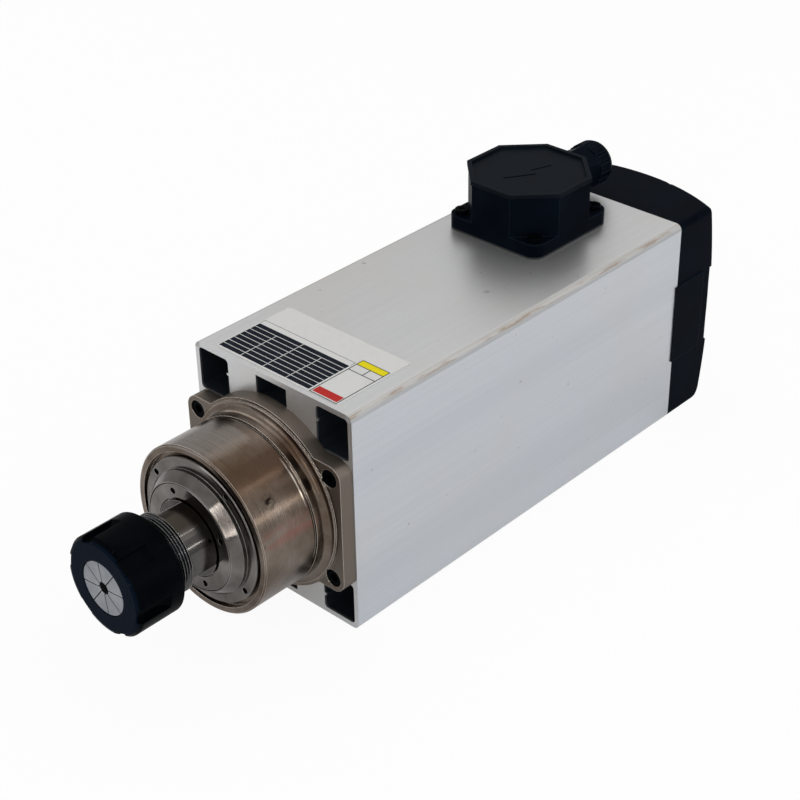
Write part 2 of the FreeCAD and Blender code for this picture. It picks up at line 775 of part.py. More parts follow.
def nose_rings():
    ring = turned("lock_ring_turning", [
        ("bearing_front - face_gap", "lock_ring_foot"),
        ("bearing_front - face_gap", "lock_ring_thread_radius"),
        ("lock_face + lock_ring_edge", "lock_ring_thread_radius"),
        ("lock_face", "lock_ring_thread_radius - lock_ring_edge"),
        ("lock_face", "hub_radius"),
        ("lock_face - hub_step", "hub_radius"),
        ("hub_tip", "labyrinth_radius + labyrinth_gap + hub_tip_width"),
        ("hub_tip", "labyrinth_radius + labyrinth_gap"),
        ("hub_tip + labyrinth_length - labyrinth_root_length", "labyrinth_radius + labyrinth_gap"),
        ("hub_tip + labyrinth_length - labyrinth_root_length", "lock_ring_foot")])
    holes = spanner_holes("lock_hole", 4, "lock_hole_circle", "lock_hole_angle", "lock_face")
    node(cut("lock_ring", ring, holes), "bearing_lock_ring", z="axis_height")
    ring = turned("labyrinth_turning", [
        ("hub_tip + labyrinth_length", "neck_radius + seat_gap"),
        ("hub_tip + labyrinth_length", "labyrinth_root_radius"),
        ("hub_tip + labyrinth_length - labyrinth_root_length", "labyrinth_root_radius"),
        ("hub_tip + labyrinth_length - labyrinth_root_length", "labyrinth_radius"),
        ("hub_tip + labyrinth_edge", "labyrinth_radius"),
        ("hub_tip", "labyrinth_radius - labyrinth_edge"),
        ("hub_tip", "labyrinth_mouth_radius"),
        ("hub_tip + labyrinth_mouth_depth", "labyrinth_mouth_radius"),
        ("hub_tip + labyrinth_mouth_depth", "neck_radius + seat_gap")])
    holes = spanner_holes("labyrinth_hole", 4, "labyrinth_hole_circle", "labyrinth_hole_angle",
                          "hub_tip")
    node(cut("labyrinth", ring, holes), "labyrinth_ring", z="axis_height")


def ball_bearing(name, fronts, sizes_of):
    """Rings, balls and cages of one or more like ball bearings, each starting at a front place."""
    outers, inners, balls, cages = [], [], [], []
    s = sizes_of
    for i, front in enumerate(fronts):
        back = f"{front} + {s['width']}"
        middle = f"{front} + {s['width']} / 2"
        race = f"{s['ball']} + race_gap"
        ring = turned(f"{name}_outer_turning_{i}", [
            (front, s["outer_land"]), (front, f"{s['outer']} - ring_edge"),
            (f"{front} + ring_edge", s["outer"]),
            (f"{back} - ring_edge", s["outer"]), (back, f"{s['outer']} - ring_edge"),
            (back, s["outer_land"])])
        groove = torus(f"{name}_outer_race_{i}", s["pitch"], race, middle)
        outers.append(cut(f"{name}_outer_{i}", ring, [groove]))
        ring = turned(f"{name}_inner_turning_{i}", [
            (front, f"{s['bore']} + seat_gap"), (front, s["inner_land"]), (back, s["inner_land"]),
            (back, f"{s['bore']} + seat_gap")])
        groove = torus(f"{name}_inner_race_{i}", s["pitch"], race, middle)
        inners.append(cut(f"{name}_inner_{i}", ring, [groove]))
        half = f"{s['ball']} + {s['cage_side']}"
        ring = turned(f"{name}_cage_turning_{i}", [
            (f"{middle} - ({half})", f"{s['pitch']} - {s['cage_wall']} / 2"),
            (f"{middle} - ({half})", f"{s['pitch']} + {s['cage_wall']} / 2"),
            (f"{middle} + ({half})", f"{s['pitch']} + {s['cage_wall']} / 2"),
            (f"{middle} + ({half})", f"{s['pitch']} - {s['cage_wall']} / 2")])
        count = round(number(s["count"]))
        pockets = []
        for k in range(count):
            angle = f"{k * 360 / count}"
            balls.append(sphere(f"{name}_ball_{i}_{k}", s["ball"], f"{s['pitch']} * cos({angle})",
                                middle, f"{s['pitch']} * sin({angle})"))
            pockets.append(radial_cylinder(f"{name}_pocket_{i}_{k}", race,
                                           f"{s['pitch']} - {s['cage_wall']}",
                                           f"{s['pitch']} + {s['cage_wall']}", middle, angle))
        cages.append(cut(f"{name}_cage_{i}", ring, pockets))
    return [group(f"{name}_{word}", items) if len(items) > 1 else items[0]
            for word, items in (("outers", outers), ("inners", inners), ("balls", balls),
                                ("cages", cages))]


def ring_between(name, label, start, end, inner, outer):
    body = turned(name, [(start, inner), (start, outer), (end, outer), (end, inner)])
    return node(body, label, z="axis_height")


def front_bearings():
    second = "bearing_front + front_bearing_width + front_spacer_width"
    pieces = ball_bearing("front", ["bearing_front", second], dict(
        width="front_bearing_width", outer="front_bearing_outer", bore="front_bearing_bore",
        pitch="front_pitch_radius", ball="front_ball_radius", count="front_ball_count",
        outer_land="outer_ring_land", inner_land="inner_ring_land", cage_wall="cage_wall",
        cage_side="cage_side"))
    labels = ("front_bearing_outer_rings", "front_bearing_inner_rings", "front_bearing_balls",
              "front_bearing_cages")
    for piece, label in zip(pieces, labels):
        node(piece, label, z="axis_height")
    start = "bearing_front + front_bearing_width"
    ring_between("spacer_outer", "outer_spacer", f"{start} + face_gap", f"{second} - face_gap",
                 "outer_ring_land + spacer_step", "front_bearing_outer")
    ring_between("spacer_inner", "inner_spacer", f"{start} + face_gap", f"{second} - face_gap",
                 "front_bearing_bore + seat_gap", "inner_ring_land - collar_step")
    nut = turned("shaft_nut_turning", [
        ("bearing_stop + face_gap", "front_bearing_bore + seat_gap"),
        ("bearing_stop + face_gap", "inner_ring_land - collar_step"),
        ("bearing_stop + locknut_collar", "inner_ring_land - collar_step"),
        ("bearing_stop + locknut_collar", "shaft_locknut_radius"),
        ("bearing_stop + shaft_locknut_width", "shaft_locknut_radius"),
        ("bearing_stop + shaft_locknut_width", "front_bearing_bore + seat_gap")])
    notches = [radial_box(f"shaft_nut_notch_{k}", "shaft_locknut_radius - locknut_notch_depth",
                          "shaft_locknut_radius + 1", "bearing_stop + locknut_collar",
                          "bearing_stop + shaft_locknut_width", "locknut_notch_width",
                          str(90 * k)) for k in range(4)]
    node(cut("shaft_nut", nut, notches), "front_shaft_locknut", z="axis_height")


def shaft():
    crest_to_root = "thread_radius - thread_depth"
    teeth = []
    turns = int(number("(thread_length - thread_edge) / thread_pitch"))
    for k in range(turns):
        root = f"shaft_front + thread_edge + {k} * thread_pitch"
        teeth += [(f"{root}", "thread_radius"), (f"{root} + thread_pitch / 2", crest_to_root)]
    taper_end = "shaft_front + taper_depth"
    profile = [
        ("shaft_front", "taper_mouth_radius + mouth_edge"),
        ("shaft_front", "thread_radius - thread_edge"),
    ] + teeth + [
        (f"shaft_front + thread_edge + {turns} * thread_pitch", "thread_radius"),
        ("flats_front", "thread_radius"),
        ("flats_front", "neck_radius"),
        ("bearing_front", "neck_radius"),
        ("bearing_front", "front_bearing_bore"),
        ("bearing_stop + shaft_locknut_width + shoulder_gap", "front_bearing_bore"),
        ("bearing_stop + shaft_locknut_width + shoulder_gap", "mid_shaft_radius"),
        ("stator_place - shoulder_gap", "mid_shaft_radius"),
        ("stator_place - shoulder_gap", "rotor_seat_radius"),
        ("stator_end + rotor_ring_width + rear_shoulder_place", "rotor_seat_radius"),
        ("stator_end + rotor_ring_width + rear_shoulder_place", "rear_shoulder_radius"),
        ("rear_bearing_front", "rear_shoulder_radius"),
        ("rear_bearing_front", "rear_bearing_bore"),
        ("rear_bearing_back + groove_gap", "rear_bearing_bore"),
        ("rear_bearing_back + groove_gap", "rear_bearing_bore - ring_groove_depth"),
        ("rear_bearing_back + groove_gap + rear_ring_width", "rear_bearing_bore - ring_groove_depth"),
        ("rear_bearing_back + groove_gap + rear_ring_width", "rear_bearing_bore"),
        ("fan_front - fan_seat_lead", "rear_bearing_bore"),
        ("fan_front - fan_seat_lead", "fan_seat_radius"),
        ("fan_back + groove_gap", "fan_seat_radius"),
        ("fan_back + groove_gap", "fan_seat_radius - ring_groove_depth"),
        ("fan_back + groove_gap + fan_ring_width", "fan_seat_radius - ring_groove_depth"),
        ("fan_back + groove_gap + fan_ring_width", "fan_seat_radius"),
        ("shaft_rear - shaft_end_edge", "fan_seat_radius"),
        ("shaft_rear", "fan_seat_radius - shaft_end_edge"),
        ("shaft_rear", "0"),
        (f"{taper_end} + relief_depth + pocket_depth", "0"),
        (f"{taper_end} + relief_depth + pocket_depth", "pocket_radius"),
        (f"{taper_end} + relief_depth", "pocket_radius"),
        (f"{taper_end} + relief_depth", "relief_radius"),
        (taper_end, "relief_radius"),
        (taper_end, "taper_mouth_radius - tan(taper_angle) * taper_depth"),
        ("shaft_front + mouth_edge", "taper_mouth_radius - tan(taper_angle) * mouth_edge"),
    ]
    body = turned("shaft_turning", profile)
    flats = [radial_box(f"flat_{k}", "flats_across / 2", "neck_radius + 2", "flats_front",
                        "flats_front + flats_length", "2 * neck_radius", f"flats_angle + {180 * k}")
             for k in range(2)]
    node(cut("shaft", body, flats), "spindle_shaft", z="axis_height")


def collet_and_nut():
    rear = "collet_face + collet_length"
    body = turned("collet_turning", [
        ("collet_face", "collet_bore_radius + collet_bore_edge"),
        ("collet_face", "collet_face_radius"),
        ("collet_land_start", "collet_land_radius"),
        ("collet_groove_start", "collet_land_radius"),
        ("collet_groove_start", "collet_groove_radius"),
        ("collet_taper_start", "collet_groove_radius"),
        ("collet_taper_start", "collet_taper_radius"),
        (rear, f"collet_taper_radius - tan(taper_angle) * ({rear} - (collet_taper_start))"),
        (rear, "collet_bore_radius"),
        ("collet_face + collet_bore_edge", "collet_bore_radius")])
    count = round(number("collet_slit_count"))
    slits = []
    for k in range(count):
        angle = f"{k * 360 / count} + collet_turn"
        slits.append(radial_box(f"front_slit_{k}", "collet_bore_radius - 0.5",
                                "collet_taper_radius + 1", "collet_face", f"{rear} - collet_bridge",
                                "collet_slit_width", angle))
        slits.append(radial_box(f"rear_slit_{k}", "collet_bore_radius - 0.5",
                                "collet_taper_radius + 1", "collet_face + collet_rear_bridge", rear,
                                "collet_slit_width", f"{angle} + {180 / count}"))
    node(cut("collet_slit", body, slits), "collet", z="axis_height")
    body = turned("nut_turning", [
        ("nut_face", "nut_mouth_radius"),
        ("nut_face", "nut_front_radius"),
        ("nut_face + nut_lip_length", "nut_front_radius + nut_lip_height"),
        ("nut_face + nut_front_edge", "nut_radius"),
        ("nut_face + nut_length - nut_rear_edge", "nut_radius"),
        ("nut_face + nut_length", "nut_rear_radius"),
        ("nut_face + nut_length", "thread_radius + thread_gap"),
        ("nut_seat_end", "thread_radius + thread_gap"),
        ("nut_seat_end", "nut_ring_seat_radius"),
        ("nut_seat_start", "nut_ring_seat_radius"),
        ("nut_seat_start", "nut_cone_radius")])
    count = round(number("slot_count"))
    slots = []
    for k in range(count):
        angle = f"slot_angle + {k * 360 / count}"
        slots.append(radial_box(f"slot_{k}", "nut_radius - slot_depth", "nut_radius + 1",
                                "nut_face - 1", "nut_face + slot_length", "slot_width", angle))
        slots.append(tangent_cylinder(f"slot_end_{k}", "slot_cutter_radius",
                                      "nut_radius - slot_depth + slot_cutter_radius",
                                      "nut_face + slot_length", "slot_width", angle))
    node(cut("nut", body, slots), "collet_nut", z="axis_height")
    lip_start = "collet_groove_start + extraction_lip_gap"
    lip_end = f"{lip_start} + extraction_lip_width"
    body = turned("extraction_turning", [
        ("nut_seat_start + face_gap", "collet_land_radius + running_gap"),
        ("nut_seat_start + face_gap", "nut_ring_seat_radius - seat_gap"),
        ("nut_seat_start + extraction_ring_width", "nut_ring_seat_radius - seat_gap"),
        ("nut_seat_start + extraction_ring_width", "collet_taper_radius + running_gap"),
        (lip_end, "collet_taper_radius + running_gap"),
        (lip_end, "collet_groove_radius + running_gap"),
        (lip_start, "collet_groove_radius + running_gap"),
        (lip_start, "collet_land_radius + running_gap")])
    node(body, "extraction_ring", z="axis_height")


def motor():
    core = turned("stator_turning", [
        ("stator_place", "stator_inner_radius"), ("stator_place", "bore_radius - seat_gap"),
        ("stator_end", "bore_radius - seat_gap"), ("stator_end", "stator_inner_radius")])
    count = round(number("stator_slot_count"))
    slots, bars = [], []
    for k in range(count):
        angle = f"{(k + 0.5) * 360 / count}"
        slots.append(radial_box(f"stator_slot_{k}", "stator_inner_radius + stator_slot_lip",
                                "stator_slot_floor", "stator_place", "stator_end",
                                "stator_slot_width", angle))
        slots.append(radial_box(f"stator_mouth_{k}", "stator_inner_radius - 1",
                                "stator_inner_radius + stator_slot_lip", "stator_place", "stator_end",
                                "stator_slot_mouth", angle))
        bars.append(radial_box(f"stator_bar_{k}", "stator_inner_radius + stator_slot_lip + wire_gap",
                               "stator_slot_floor - wire_gap", "stator_place - bar_reach",
                               "stator_end + bar_reach",
                               "stator_slot_width - 2 * wire_gap", angle))
    node(cut("stator", core, slots), "stator_core", z="axis_height")
    crowns = []
    inner = "stator_inner_radius + stator_slot_lip + wire_gap - crown_inset"
    for name, near, far, sign in (("front", "stator_place - wire_gap",
                                   "stator_place - crown_length", -1),
                                  ("rear", "stator_end + wire_gap", "stator_end + crown_length", 1)):
        crowns.append(turned(f"{name}_crown", [
            (near, inner), (far + f" - {sign} * crown_slope", inner), (far, f"{inner} + crown_edge"),
            (far, "crown_outer_radius - crown_edge"),
            (far + f" - {sign} * crown_slope", "crown_outer_radius"),
            (near, "crown_outer_radius")]))
    exit_block = box("lead_exit", "lead_hole_x - lead_block_width / 2",
                     "lead_hole_x + lead_block_width / 2",
                     "terminal_y + lead_block_place - lead_block_length",
                     "terminal_y + lead_block_place",
                     "stator_slot_floor - lead_block_drop - lead_block_height",
                     "stator_slot_floor - lead_block_drop")
    node(fuse("windings", crowns + bars + [exit_block]), "stator_windings", z="axis_height")
    rotor = turned("rotor_turning", [
        ("stator_place", "rotor_seat_radius + seat_gap"), ("stator_place", "rotor_radius"),
        ("stator_end", "rotor_radius"), ("stator_end", "rotor_seat_radius + seat_gap")])
    node(rotor, "rotor_core", z="axis_height")
    rings = []
    count = round(number("rotor_fin_count"))
    for name, start, end, tip, back in (
            ("front", "stator_place - rotor_ring_width", "stator_place - face_gap",
             "stator_place - rotor_ring_width - rotor_fin_length", "stator_place - rotor_ring_width"),
            ("rear", "stator_end + face_gap", "stator_end + rotor_ring_width",
             "stator_end + rotor_ring_width", "stator_end + rotor_ring_width + rotor_fin_length")):
        ring = turned(f"{name}_cage_ring", [
            (start, "rotor_ring_inner_radius"), (start, "rotor_ring_outer_radius"),
            (end, "rotor_ring_outer_radius"), (end, "rotor_ring_inner_radius")])
        fins = [radial_box(f"{name}_fin_{k}", "rotor_ring_inner_radius + rotor_fin_inset",
                           "rotor_ring_outer_radius - rotor_fin_inset", f"{tip} - 0.5", f"{back} + 0.5",
                           "rotor_fin_width", f"{k * 360 / count}") for k in range(count)]
        rings.append(fuse(f"{name}_rotor_ring", [ring] + fins))
    node(group("rotor_rings", rings), "rotor_end_rings", z="axis_height")


def rear_bearing():
    pieces = ball_bearing("rear", ["rear_bearing_front"], dict(
        width="rear_bearing_width", outer="rear_bearing_outer", bore="rear_bearing_bore",
        pitch="rear_pitch_radius", ball="rear_ball_radius", count="rear_ball_count",
        outer_land="rear_outer_land", inner_land="rear_inner_land", cage_wall="rear_cage_wall",
        cage_side="rear_cage_side"))
    labels = ("rear_bearing_outer_ring", "rear_bearing_inner_ring", "rear_bearing_balls",
              "rear_bearing_cage")
    for piece, label in zip(pieces, labels):
        node(piece, label, z="axis_height")
    spring_front = "rear_bearing_front - spring_width"
    ring_between("wave_spring", "rear_wave_spring", f"{spring_front} + spring_gap",
                 "rear_bearing_front - spring_gap", "spring_inner_radius",
                 "rear_bearing_outer - spring_clearance")
    body = turned("bracket_turning", [
        ("rear_face - bracket_spigot_length", "bracket_lip_radius"),
        ("rear_face - bracket_spigot_length", "bore_radius - seat_gap"),
        ("rear_face", "bore_radius - seat_gap"),
        ("rear_face", "bracket_radius"),
        ("rear_face + bracket_flange", "bracket_radius"),
        ("rear_face + bracket_flange", "rear_bearing_outer + seat_gap"),
        (spring_front, "rear_bearing_outer + seat_gap"),
        (spring_front, "bracket_lip_radius")])
    ears = [cylinder(f"bracket_ear_{i}", "bracket_ear_radius", "bracket_flange", x, "rear_face", z)
            for i, (x, z) in enumerate(corners("bracket_screw_x", "bracket_screw_z"))]
    holes = [cylinder(f"bracket_hole_{i}", "m5_clearance", "bracket_flange", x, "rear_face", z)
             for i, (x, z) in enumerate(corners("bracket_screw_x", "bracket_screw_z"))]
    node(cut("bracket", fuse("bracket_blank", [body] + ears), holes), "rear_bracket", z="axis_height")
    spots = [(x, "rear_face + bracket_flange", f"axis_height + {z}")
             for x, z in corners("bracket_screw_x", "bracket_screw_z")]
    node(screws("bracket_screw", spots, "-Y", "y", "m5_core - seat_gap", "bracket_screw_length",
                "m5_head_radius", "m5_head_height", "m5_socket"), "bracket_screws")
    snap_ring("rear_snap", "rear_retaining_ring", "rear_bearing_back + groove_gap",
              "rear_bearing_bore - ring_groove_depth", "rear_ring_radius", "rear_ring_width")


def snap_ring(name, label, start, inner, outer, width):
    """An open retaining ring in its shaft groove."""
    ring = turned(name + "_turning", [
        (f"{start} + face_gap", f"{inner} + seat_gap"), (f"{start} + face_gap", outer),
        (f"{start} + {width} - face_gap", outer),
        (f"{start} + {width} - face_gap", f"{inner} + seat_gap")])
    gap = radial_box(name + "_gap", "0", f"{outer} + 1", start, f"{start} + {width}",
                     f"{inner}", "90")
    node(cut(name, ring, [gap]), label, z="axis_height")


def fan():
    hub = turned("fan_hub", [
        ("fan_front", "fan_seat_radius + seat_gap"), ("fan_front", "fan_hub_radius"),
        ("fan_back - fan_plate_width", "fan_hub_radius"),
        ("fan_back - fan_plate_width", "fan_plate_radius"), ("fan_back", "fan_plate_radius"),
        ("fan_back", "fan_seat_radius + seat_gap")])
    count = round(number("fan_blade_count"))
    blades = [radial_box(f"fan_blade_{k}", "fan_hub_radius - 1", "fan_tip_radius",
                         "fan_front + fan_blade_place", "fan_back", "fan_blade_thickness",
                         f"{k * 360 / count}")
              for k in range(count)]
    node(fuse("fan", [hub] + blades), "cooling_fan", z="axis_height")
    snap_ring("fan_snap", "fan_retaining_ring", "fan_back + groove_gap",
              "fan_seat_radius - ring_groove_depth", "fan_ring_radius", "fan_ring_width")


def barrel(name, inset, lower_radius, upper_radius):
    """A barrel about an upright axis: the cover's crowned rear face with its rounded ends."""
    half = f"(housing_height / 2 - {inset})"
    swing = f"(((housing_width / 2)^2 + cover_crown_x^2) / (2 * cover_crown_x) - {inset})"
    bow = f"(((housing_height / 2)^2 + cover_crown_z^2) / (2 * cover_crown_z) - {inset})"
    middle = f"({swing} - {bow})"

    def end(radius, sign):
        """Where a rounded end leaves the flat face, where it meets the bowed side, and its centre."""
        rise = f"({half} - {radius})"
        flat = f"({middle} + sqrt(({bow} - {radius})^2 - {rise}^2))"
        side = f"({middle} + ({flat} - {middle}) * {bow} / ({bow} - {radius}))"
        return (flat, f"{sign} * {half}"), (side, f"{sign} * {rise} * {bow} / ({bow} - {radius})"), \
               (flat, f"{sign} * {rise}")

    low_flat, low_side, low_centre = end(lower_radius, -1)
    high_flat, high_side, high_centre = end(upper_radius, 1)
    spots = [("0", f"-{half}"), low_flat, low_side, high_side, high_flat, ("0", half)]
    points = [Vector(number(x), number(z), 0) for x, z in spots]

    def arc(start, stop, centre, radius):
        heading = ((start - centre) + (stop - centre)).normalize()
        return Part.Arc(start, centre + heading * radius, stop)

    def point(spot):
        return Vector(number(spot[0]), number(spot[1]), 0)

    edges = [
        Part.LineSegment(points[0], points[1]),
        arc(points[1], points[2], point(low_centre), number(lower_radius)),
        arc(points[2], points[3], Vector(number(middle), 0, 0), number(bow)),
        arc(points[3], points[4], point(high_centre), number(upper_radius)),
        Part.LineSegment(points[4], points[5]),
        Part.LineSegment(points[5], points[0])]
    body = doc.addObject("PartDesign::Body", name)
    sketch = body.newObject("Sketcher::SketchObject", name + "_profile")
    plane = [item for item in body.Origin.OriginFeatures if item.Role == "YZ_Plane"][0]
    sketch.AttachmentSupport = (plane, [""])
    sketch.MapMode = "FlatFace"
    sketch.addGeometry(edges)
    ends = []
    for i, edge in enumerate(edges):
        first = 1 if sketch.getPoint(i, 1).distanceToPoint(points[i]) < 0.001 else 2
        ends.append((first, 3 - first))
    for i in range(6):
        k = (i + 1) % 6
        sketch.addConstraint(Sketcher.Constraint("Coincident", i, ends[i][1], k, ends[k][0]))
    for i, (x, z) in enumerate(spots):
        first = sketch.addConstraint(Sketcher.Constraint("DistanceX", -1, 1, i, ends[i][0], points[i].x))
        second = sketch.addConstraint(Sketcher.Constraint("DistanceY", -1, 1, i, ends[i][0], points[i].y))
        sketch.setExpression(f"Constraints[{first}]", bound(x))
        sketch.setExpression(f"Constraints[{second}]", bound(z))
    for i, radius in ((1, lower_radius), (2, bow), (3, upper_radius)):
        held = sketch.addConstraint(Sketcher.Constraint("Radius", i, number(radius)))
        sketch.setExpression(f"Constraints[{held}]", bound(radius))
    turn = body.newObject("PartDesign::Revolution", name + "_turn")
    turn.Profile = sketch
    turn.ReferenceAxis = (sketch, ["V_Axis"])
    turn.Angle = 360
    outer_swing = "(((housing_width / 2)^2 + cover_crown_x^2) / (2 * cover_crown_x))"
    move(body, y=f"cover_edge + cover_crown_x + cover_crown_z - {outer_swing}")
    return body


def domed_block(name, inset, front, lower_radius, upper_radius):
    """A block with a rear face that is crowned both ways, set in by a wall."""
    half_x = f"(housing_width / 2 - {inset})"
    half_z = f"(housing_height / 2 - {inset})"
    block = box(name + "_block", f"-{half_x}", half_x, front,
                "cover_edge + cover_crown_x + cover_crown_z + 1", f"-{half_z}", half_z)
    soft = rounded(name + "_soft", block, f"cover_corner_radius - {inset}", along_y)
    return common(name, [soft, barrel(name + "_barrel", inset, lower_radius, upper_radius)])


def rear_cover():
    front = "rear_face + face_gap"
    outside = domed_block("cover_outside", "0", front, "cover_lower_radius", "cover_upper_radius")
    inside = domed_block("cover_inside", "cover_wall", "rear_face - 1",
                         "(cover_lower_radius - cover_wall)", "cover_inner_radius")
    shell = cut("cover_shell", outside, [inside])
    posts = fuse("cover_posts", [
        cylinder(f"cover_post_{i}", "cover_boss_radius", "cover_depth + cover_crown_x", x, front, z)
        for i, (x, z) in enumerate(corners("cover_screw_x", "cover_screw_z"))])
    bosses = common("cover_bosses", [posts, outside])
    pads = []
    for sx in (-1, 1):
        x0, x1 = (f"{sx} * (housing_width / 2 - 1)", f"{sx} * (housing_width / 2 + pad_proud)")[::sx]
        near = (f"{sx} * (housing_width / 2 + face_gap)",
                f"{sx} * (housing_width / 2 + pad_proud)")[::sx]
        pads.append(box(f"pad_{sx}", x0, x1, front, "rear_face + pad_length",
                        "-pad_height / 2", "pad_height / 2"))
        pads.append(box(f"pad_tongue_{sx}", *near, "rear_face - pad_reach", "rear_face + 1",
                        "-pad_height / 2", "pad_height / 2"))
    solid = fuse("cover_solid", [shell, bosses] + pads)
    cuts = []
    for i, (x, z) in enumerate(corners("cover_screw_x", "cover_screw_z")):
        cuts.append(cylinder(f"cover_hole_{i}", "m4_clearance", "cover_screw_seat", x, "rear_face", z))
        cuts.append(cylinder(f"cover_sink_{i}", "cover_head_radius", "cover_depth", x, "cover_seat", z))
    for sx in (-1, 1):
        x0, x1 = (f"{sx} * (housing_width / 2 - notch_inset)", f"{sx} * (housing_width / 2 + 2)")[::sx]
        cuts.append(box(f"notch_{sx}", x0, x1, "cover_edge + cover_crown_z - notch_depth",
                        "cover_edge + cover_crown_z + 8", "-pad_height / 2", "pad_height / 2"))
    slots = []
    for k in range(round(number("grille_rings"))):
        inner = f"grille_first_radius + {k} * (grille_slot + grille_rib)"
        start = "cover_edge - cover_wall - 8"
        end = "cover_edge + cover_crown_x + cover_crown_z + 1"
        slots.append(turned(f"grille_ring_{k}", [
            (start, inner), (start, f"{inner} + grille_slot"), (end, f"{inner} + grille_slot"),
            (end, inner)]))
    count = round(number("grille_spokes"))
    reach = "grille_first_radius + grille_rings * (grille_slot + grille_rib)"
    spokes = [radial_box(f"spoke_{k}", "0", reach, "cover_edge - cover_wall - 9",
                         "cover_edge + cover_crown_x + cover_crown_z + 2", "grille_spoke_width",
                         f"{(k + 0.5) * 360 / count}") for k in range(count)]
    grille = cut("grille", group("grille_rings_all", slots), spokes)
    node(cut("cover", solid, cuts + [grille]), "rear_cover", z="axis_height")
    spots = [(x, "cover_seat", f"axis_height + {z}") for x, z in corners("cover_screw_x",
                                                                         "cover_screw_z")]
    node(screws("cover_screw", spots, "-Y", "y", "m4_core - seat_gap", "cover_screw_length",
                "m4_head_radius", "m4_head_height", "m4_socket"), "cover_screws")


def square_plate(name, side, z0, z1, radius):
    block = box(name + "_block", f"-({side}) / 2", f"({side}) / 2", f"-({side}) / 2", f"({side}) / 2",
                z0, z1)
    return rounded(name, block, radius, along_z)


def octagon(name, across, z0, z1):
    return prism(name, 8, across, f"({z1}) - ({z0})", z=z0, along="+Z", turn=22.5)


def flat_bar(name, length, width, x, y, z0, z1, angle):
    """A bar that lies in plan at an angle from +X, placed by its middle."""
    item = doc.addObject("Part::Box", name)
    item.Placement = Placement(Vector(), Rotation(Vector(0, 0, 1), number(angle)))
    bind(item, Length=length, Width=width, Height=f"({z1}) - ({z0})")
    move(item, f"{x} - ({length}) / 2 * cos({angle}) + ({width}) / 2 * sin({angle})",
         f"{y} - ({length}) / 2 * sin({angle}) - ({width}) / 2 * cos({angle})", z0)
    return item


def terminal_box():
    place = dict(x="terminal_x", y="terminal_y")
    spots = corners("box_screw_spacing", "box_screw_spacing")
    plate = square_plate("gasket_plate", "box_base", "housing_height + face_gap",
                         "box_floor - face_gap", "box_base_radius")
    opening = square_plate("gasket_hole", "gasket_opening", "housing_height - 1", "box_floor + 1",
                           "gasket_corner_radius")
    holes = [cylinder(f"gasket_screw_hole_{i}", "m4_clearance", "gasket_thickness + 2", x, y,
                      "housing_height - 1", "+Z") for i, (x, y) in enumerate(spots)]
    node(cut("gasket", plate, [opening] + holes), "junction_box_gasket", **place)

    base = square_plate("box_base_plate", "box_base", "box_floor", "box_floor + box_base_height",
                        "box_base_radius")
    tower = octagon("tower", "tower_across", "box_floor", "tower_top")
    hollow = octagon("tower_hollow", "tower_across - 2 * tower_wall", "box_floor - 1", "tower_top + 1")
    holes = [cylinder(f"box_screw_hole_{i}", "m4_clearance", "box_base_height + 2", x, y,
                      "box_floor - 1", "+Z") for i, (x, y) in enumerate(spots)]
    entry = cylinder("gland_entry", "gland_thread_radius + seat_gap", "tower_wall + 2", 0,
                     "tower_across / 2 - tower_wall - 1", "gland_level")
    node(cut("box", fuse("box_solid", [base, tower]), [hollow, entry] + holes), "junction_box", **place)

    top = "tower_top + face_gap + lid_thickness"
    plate = octagon("lid_plate", "lid_across", "tower_top + face_gap", top)
    plug = octagon("lid_plug_outer", "tower_across - 2 * tower_wall - 2 * seat_gap",
                   "tower_top - lid_plug", "tower_top + face_gap")
    plug_hole = octagon("lid_plug_inner", "tower_across - 2 * tower_wall - 2 * lid_plug_wall",
                        "tower_top - lid_plug - 1", "tower_top - lid_ceiling")
    panel = octagon("lid_panel", "lid_across - 2 * lid_rim", f"{top} - lid_recess", f"{top} + 1")
    marks = [flat_bar(f"lid_{which}", f"{which}_length", "lid_mark_width", f"{which}_x", f"{which}_y",
                      f"{top} - lid_recess - lid_mark_depth", f"{top} + 1", f"{which}_angle")
             for which in ("long_mark", "short_mark")]
    node(cut("lid", fuse("lid_solid", [plate, plug]), [plug_hole, panel] + marks),
         "junction_box_lid", **place)

    heads = []
    for i, (x, y) in enumerate(spots):
        seat = "box_floor + box_base_height"
        x, y = f"terminal_x + {x}", f"terminal_y + {y}"
        head = cylinder(f"box_head_{i}", "box_screw_head_radius", "box_screw_head_height", x, y, seat,
                        "+Z")
        shank = cylinder(f"box_shank_{i}", "m4_core - seat_gap", "box_screw_length", x, y, seat, "-Z")
        crosses = [box(f"box_cross_{i}_{k}", f"{x} - {a}", f"{x} + {a}", f"{y} - {b}", f"{y} + {b}",
                       f"{seat} + box_screw_head_height - box_cross_depth",
                       f"{seat} + box_screw_head_height + 1")
                   for k, (a, b) in enumerate((("box_screw_slot / 2", "box_cross_reach"),
                                               ("box_cross_reach", "box_screw_slot / 2")))]
        heads.append(cut(f"box_screw_{i}", fuse(f"box_screw_blank_{i}", [head, shank]), crosses))
    node(group("box_screws", heads), "junction_box_screws")


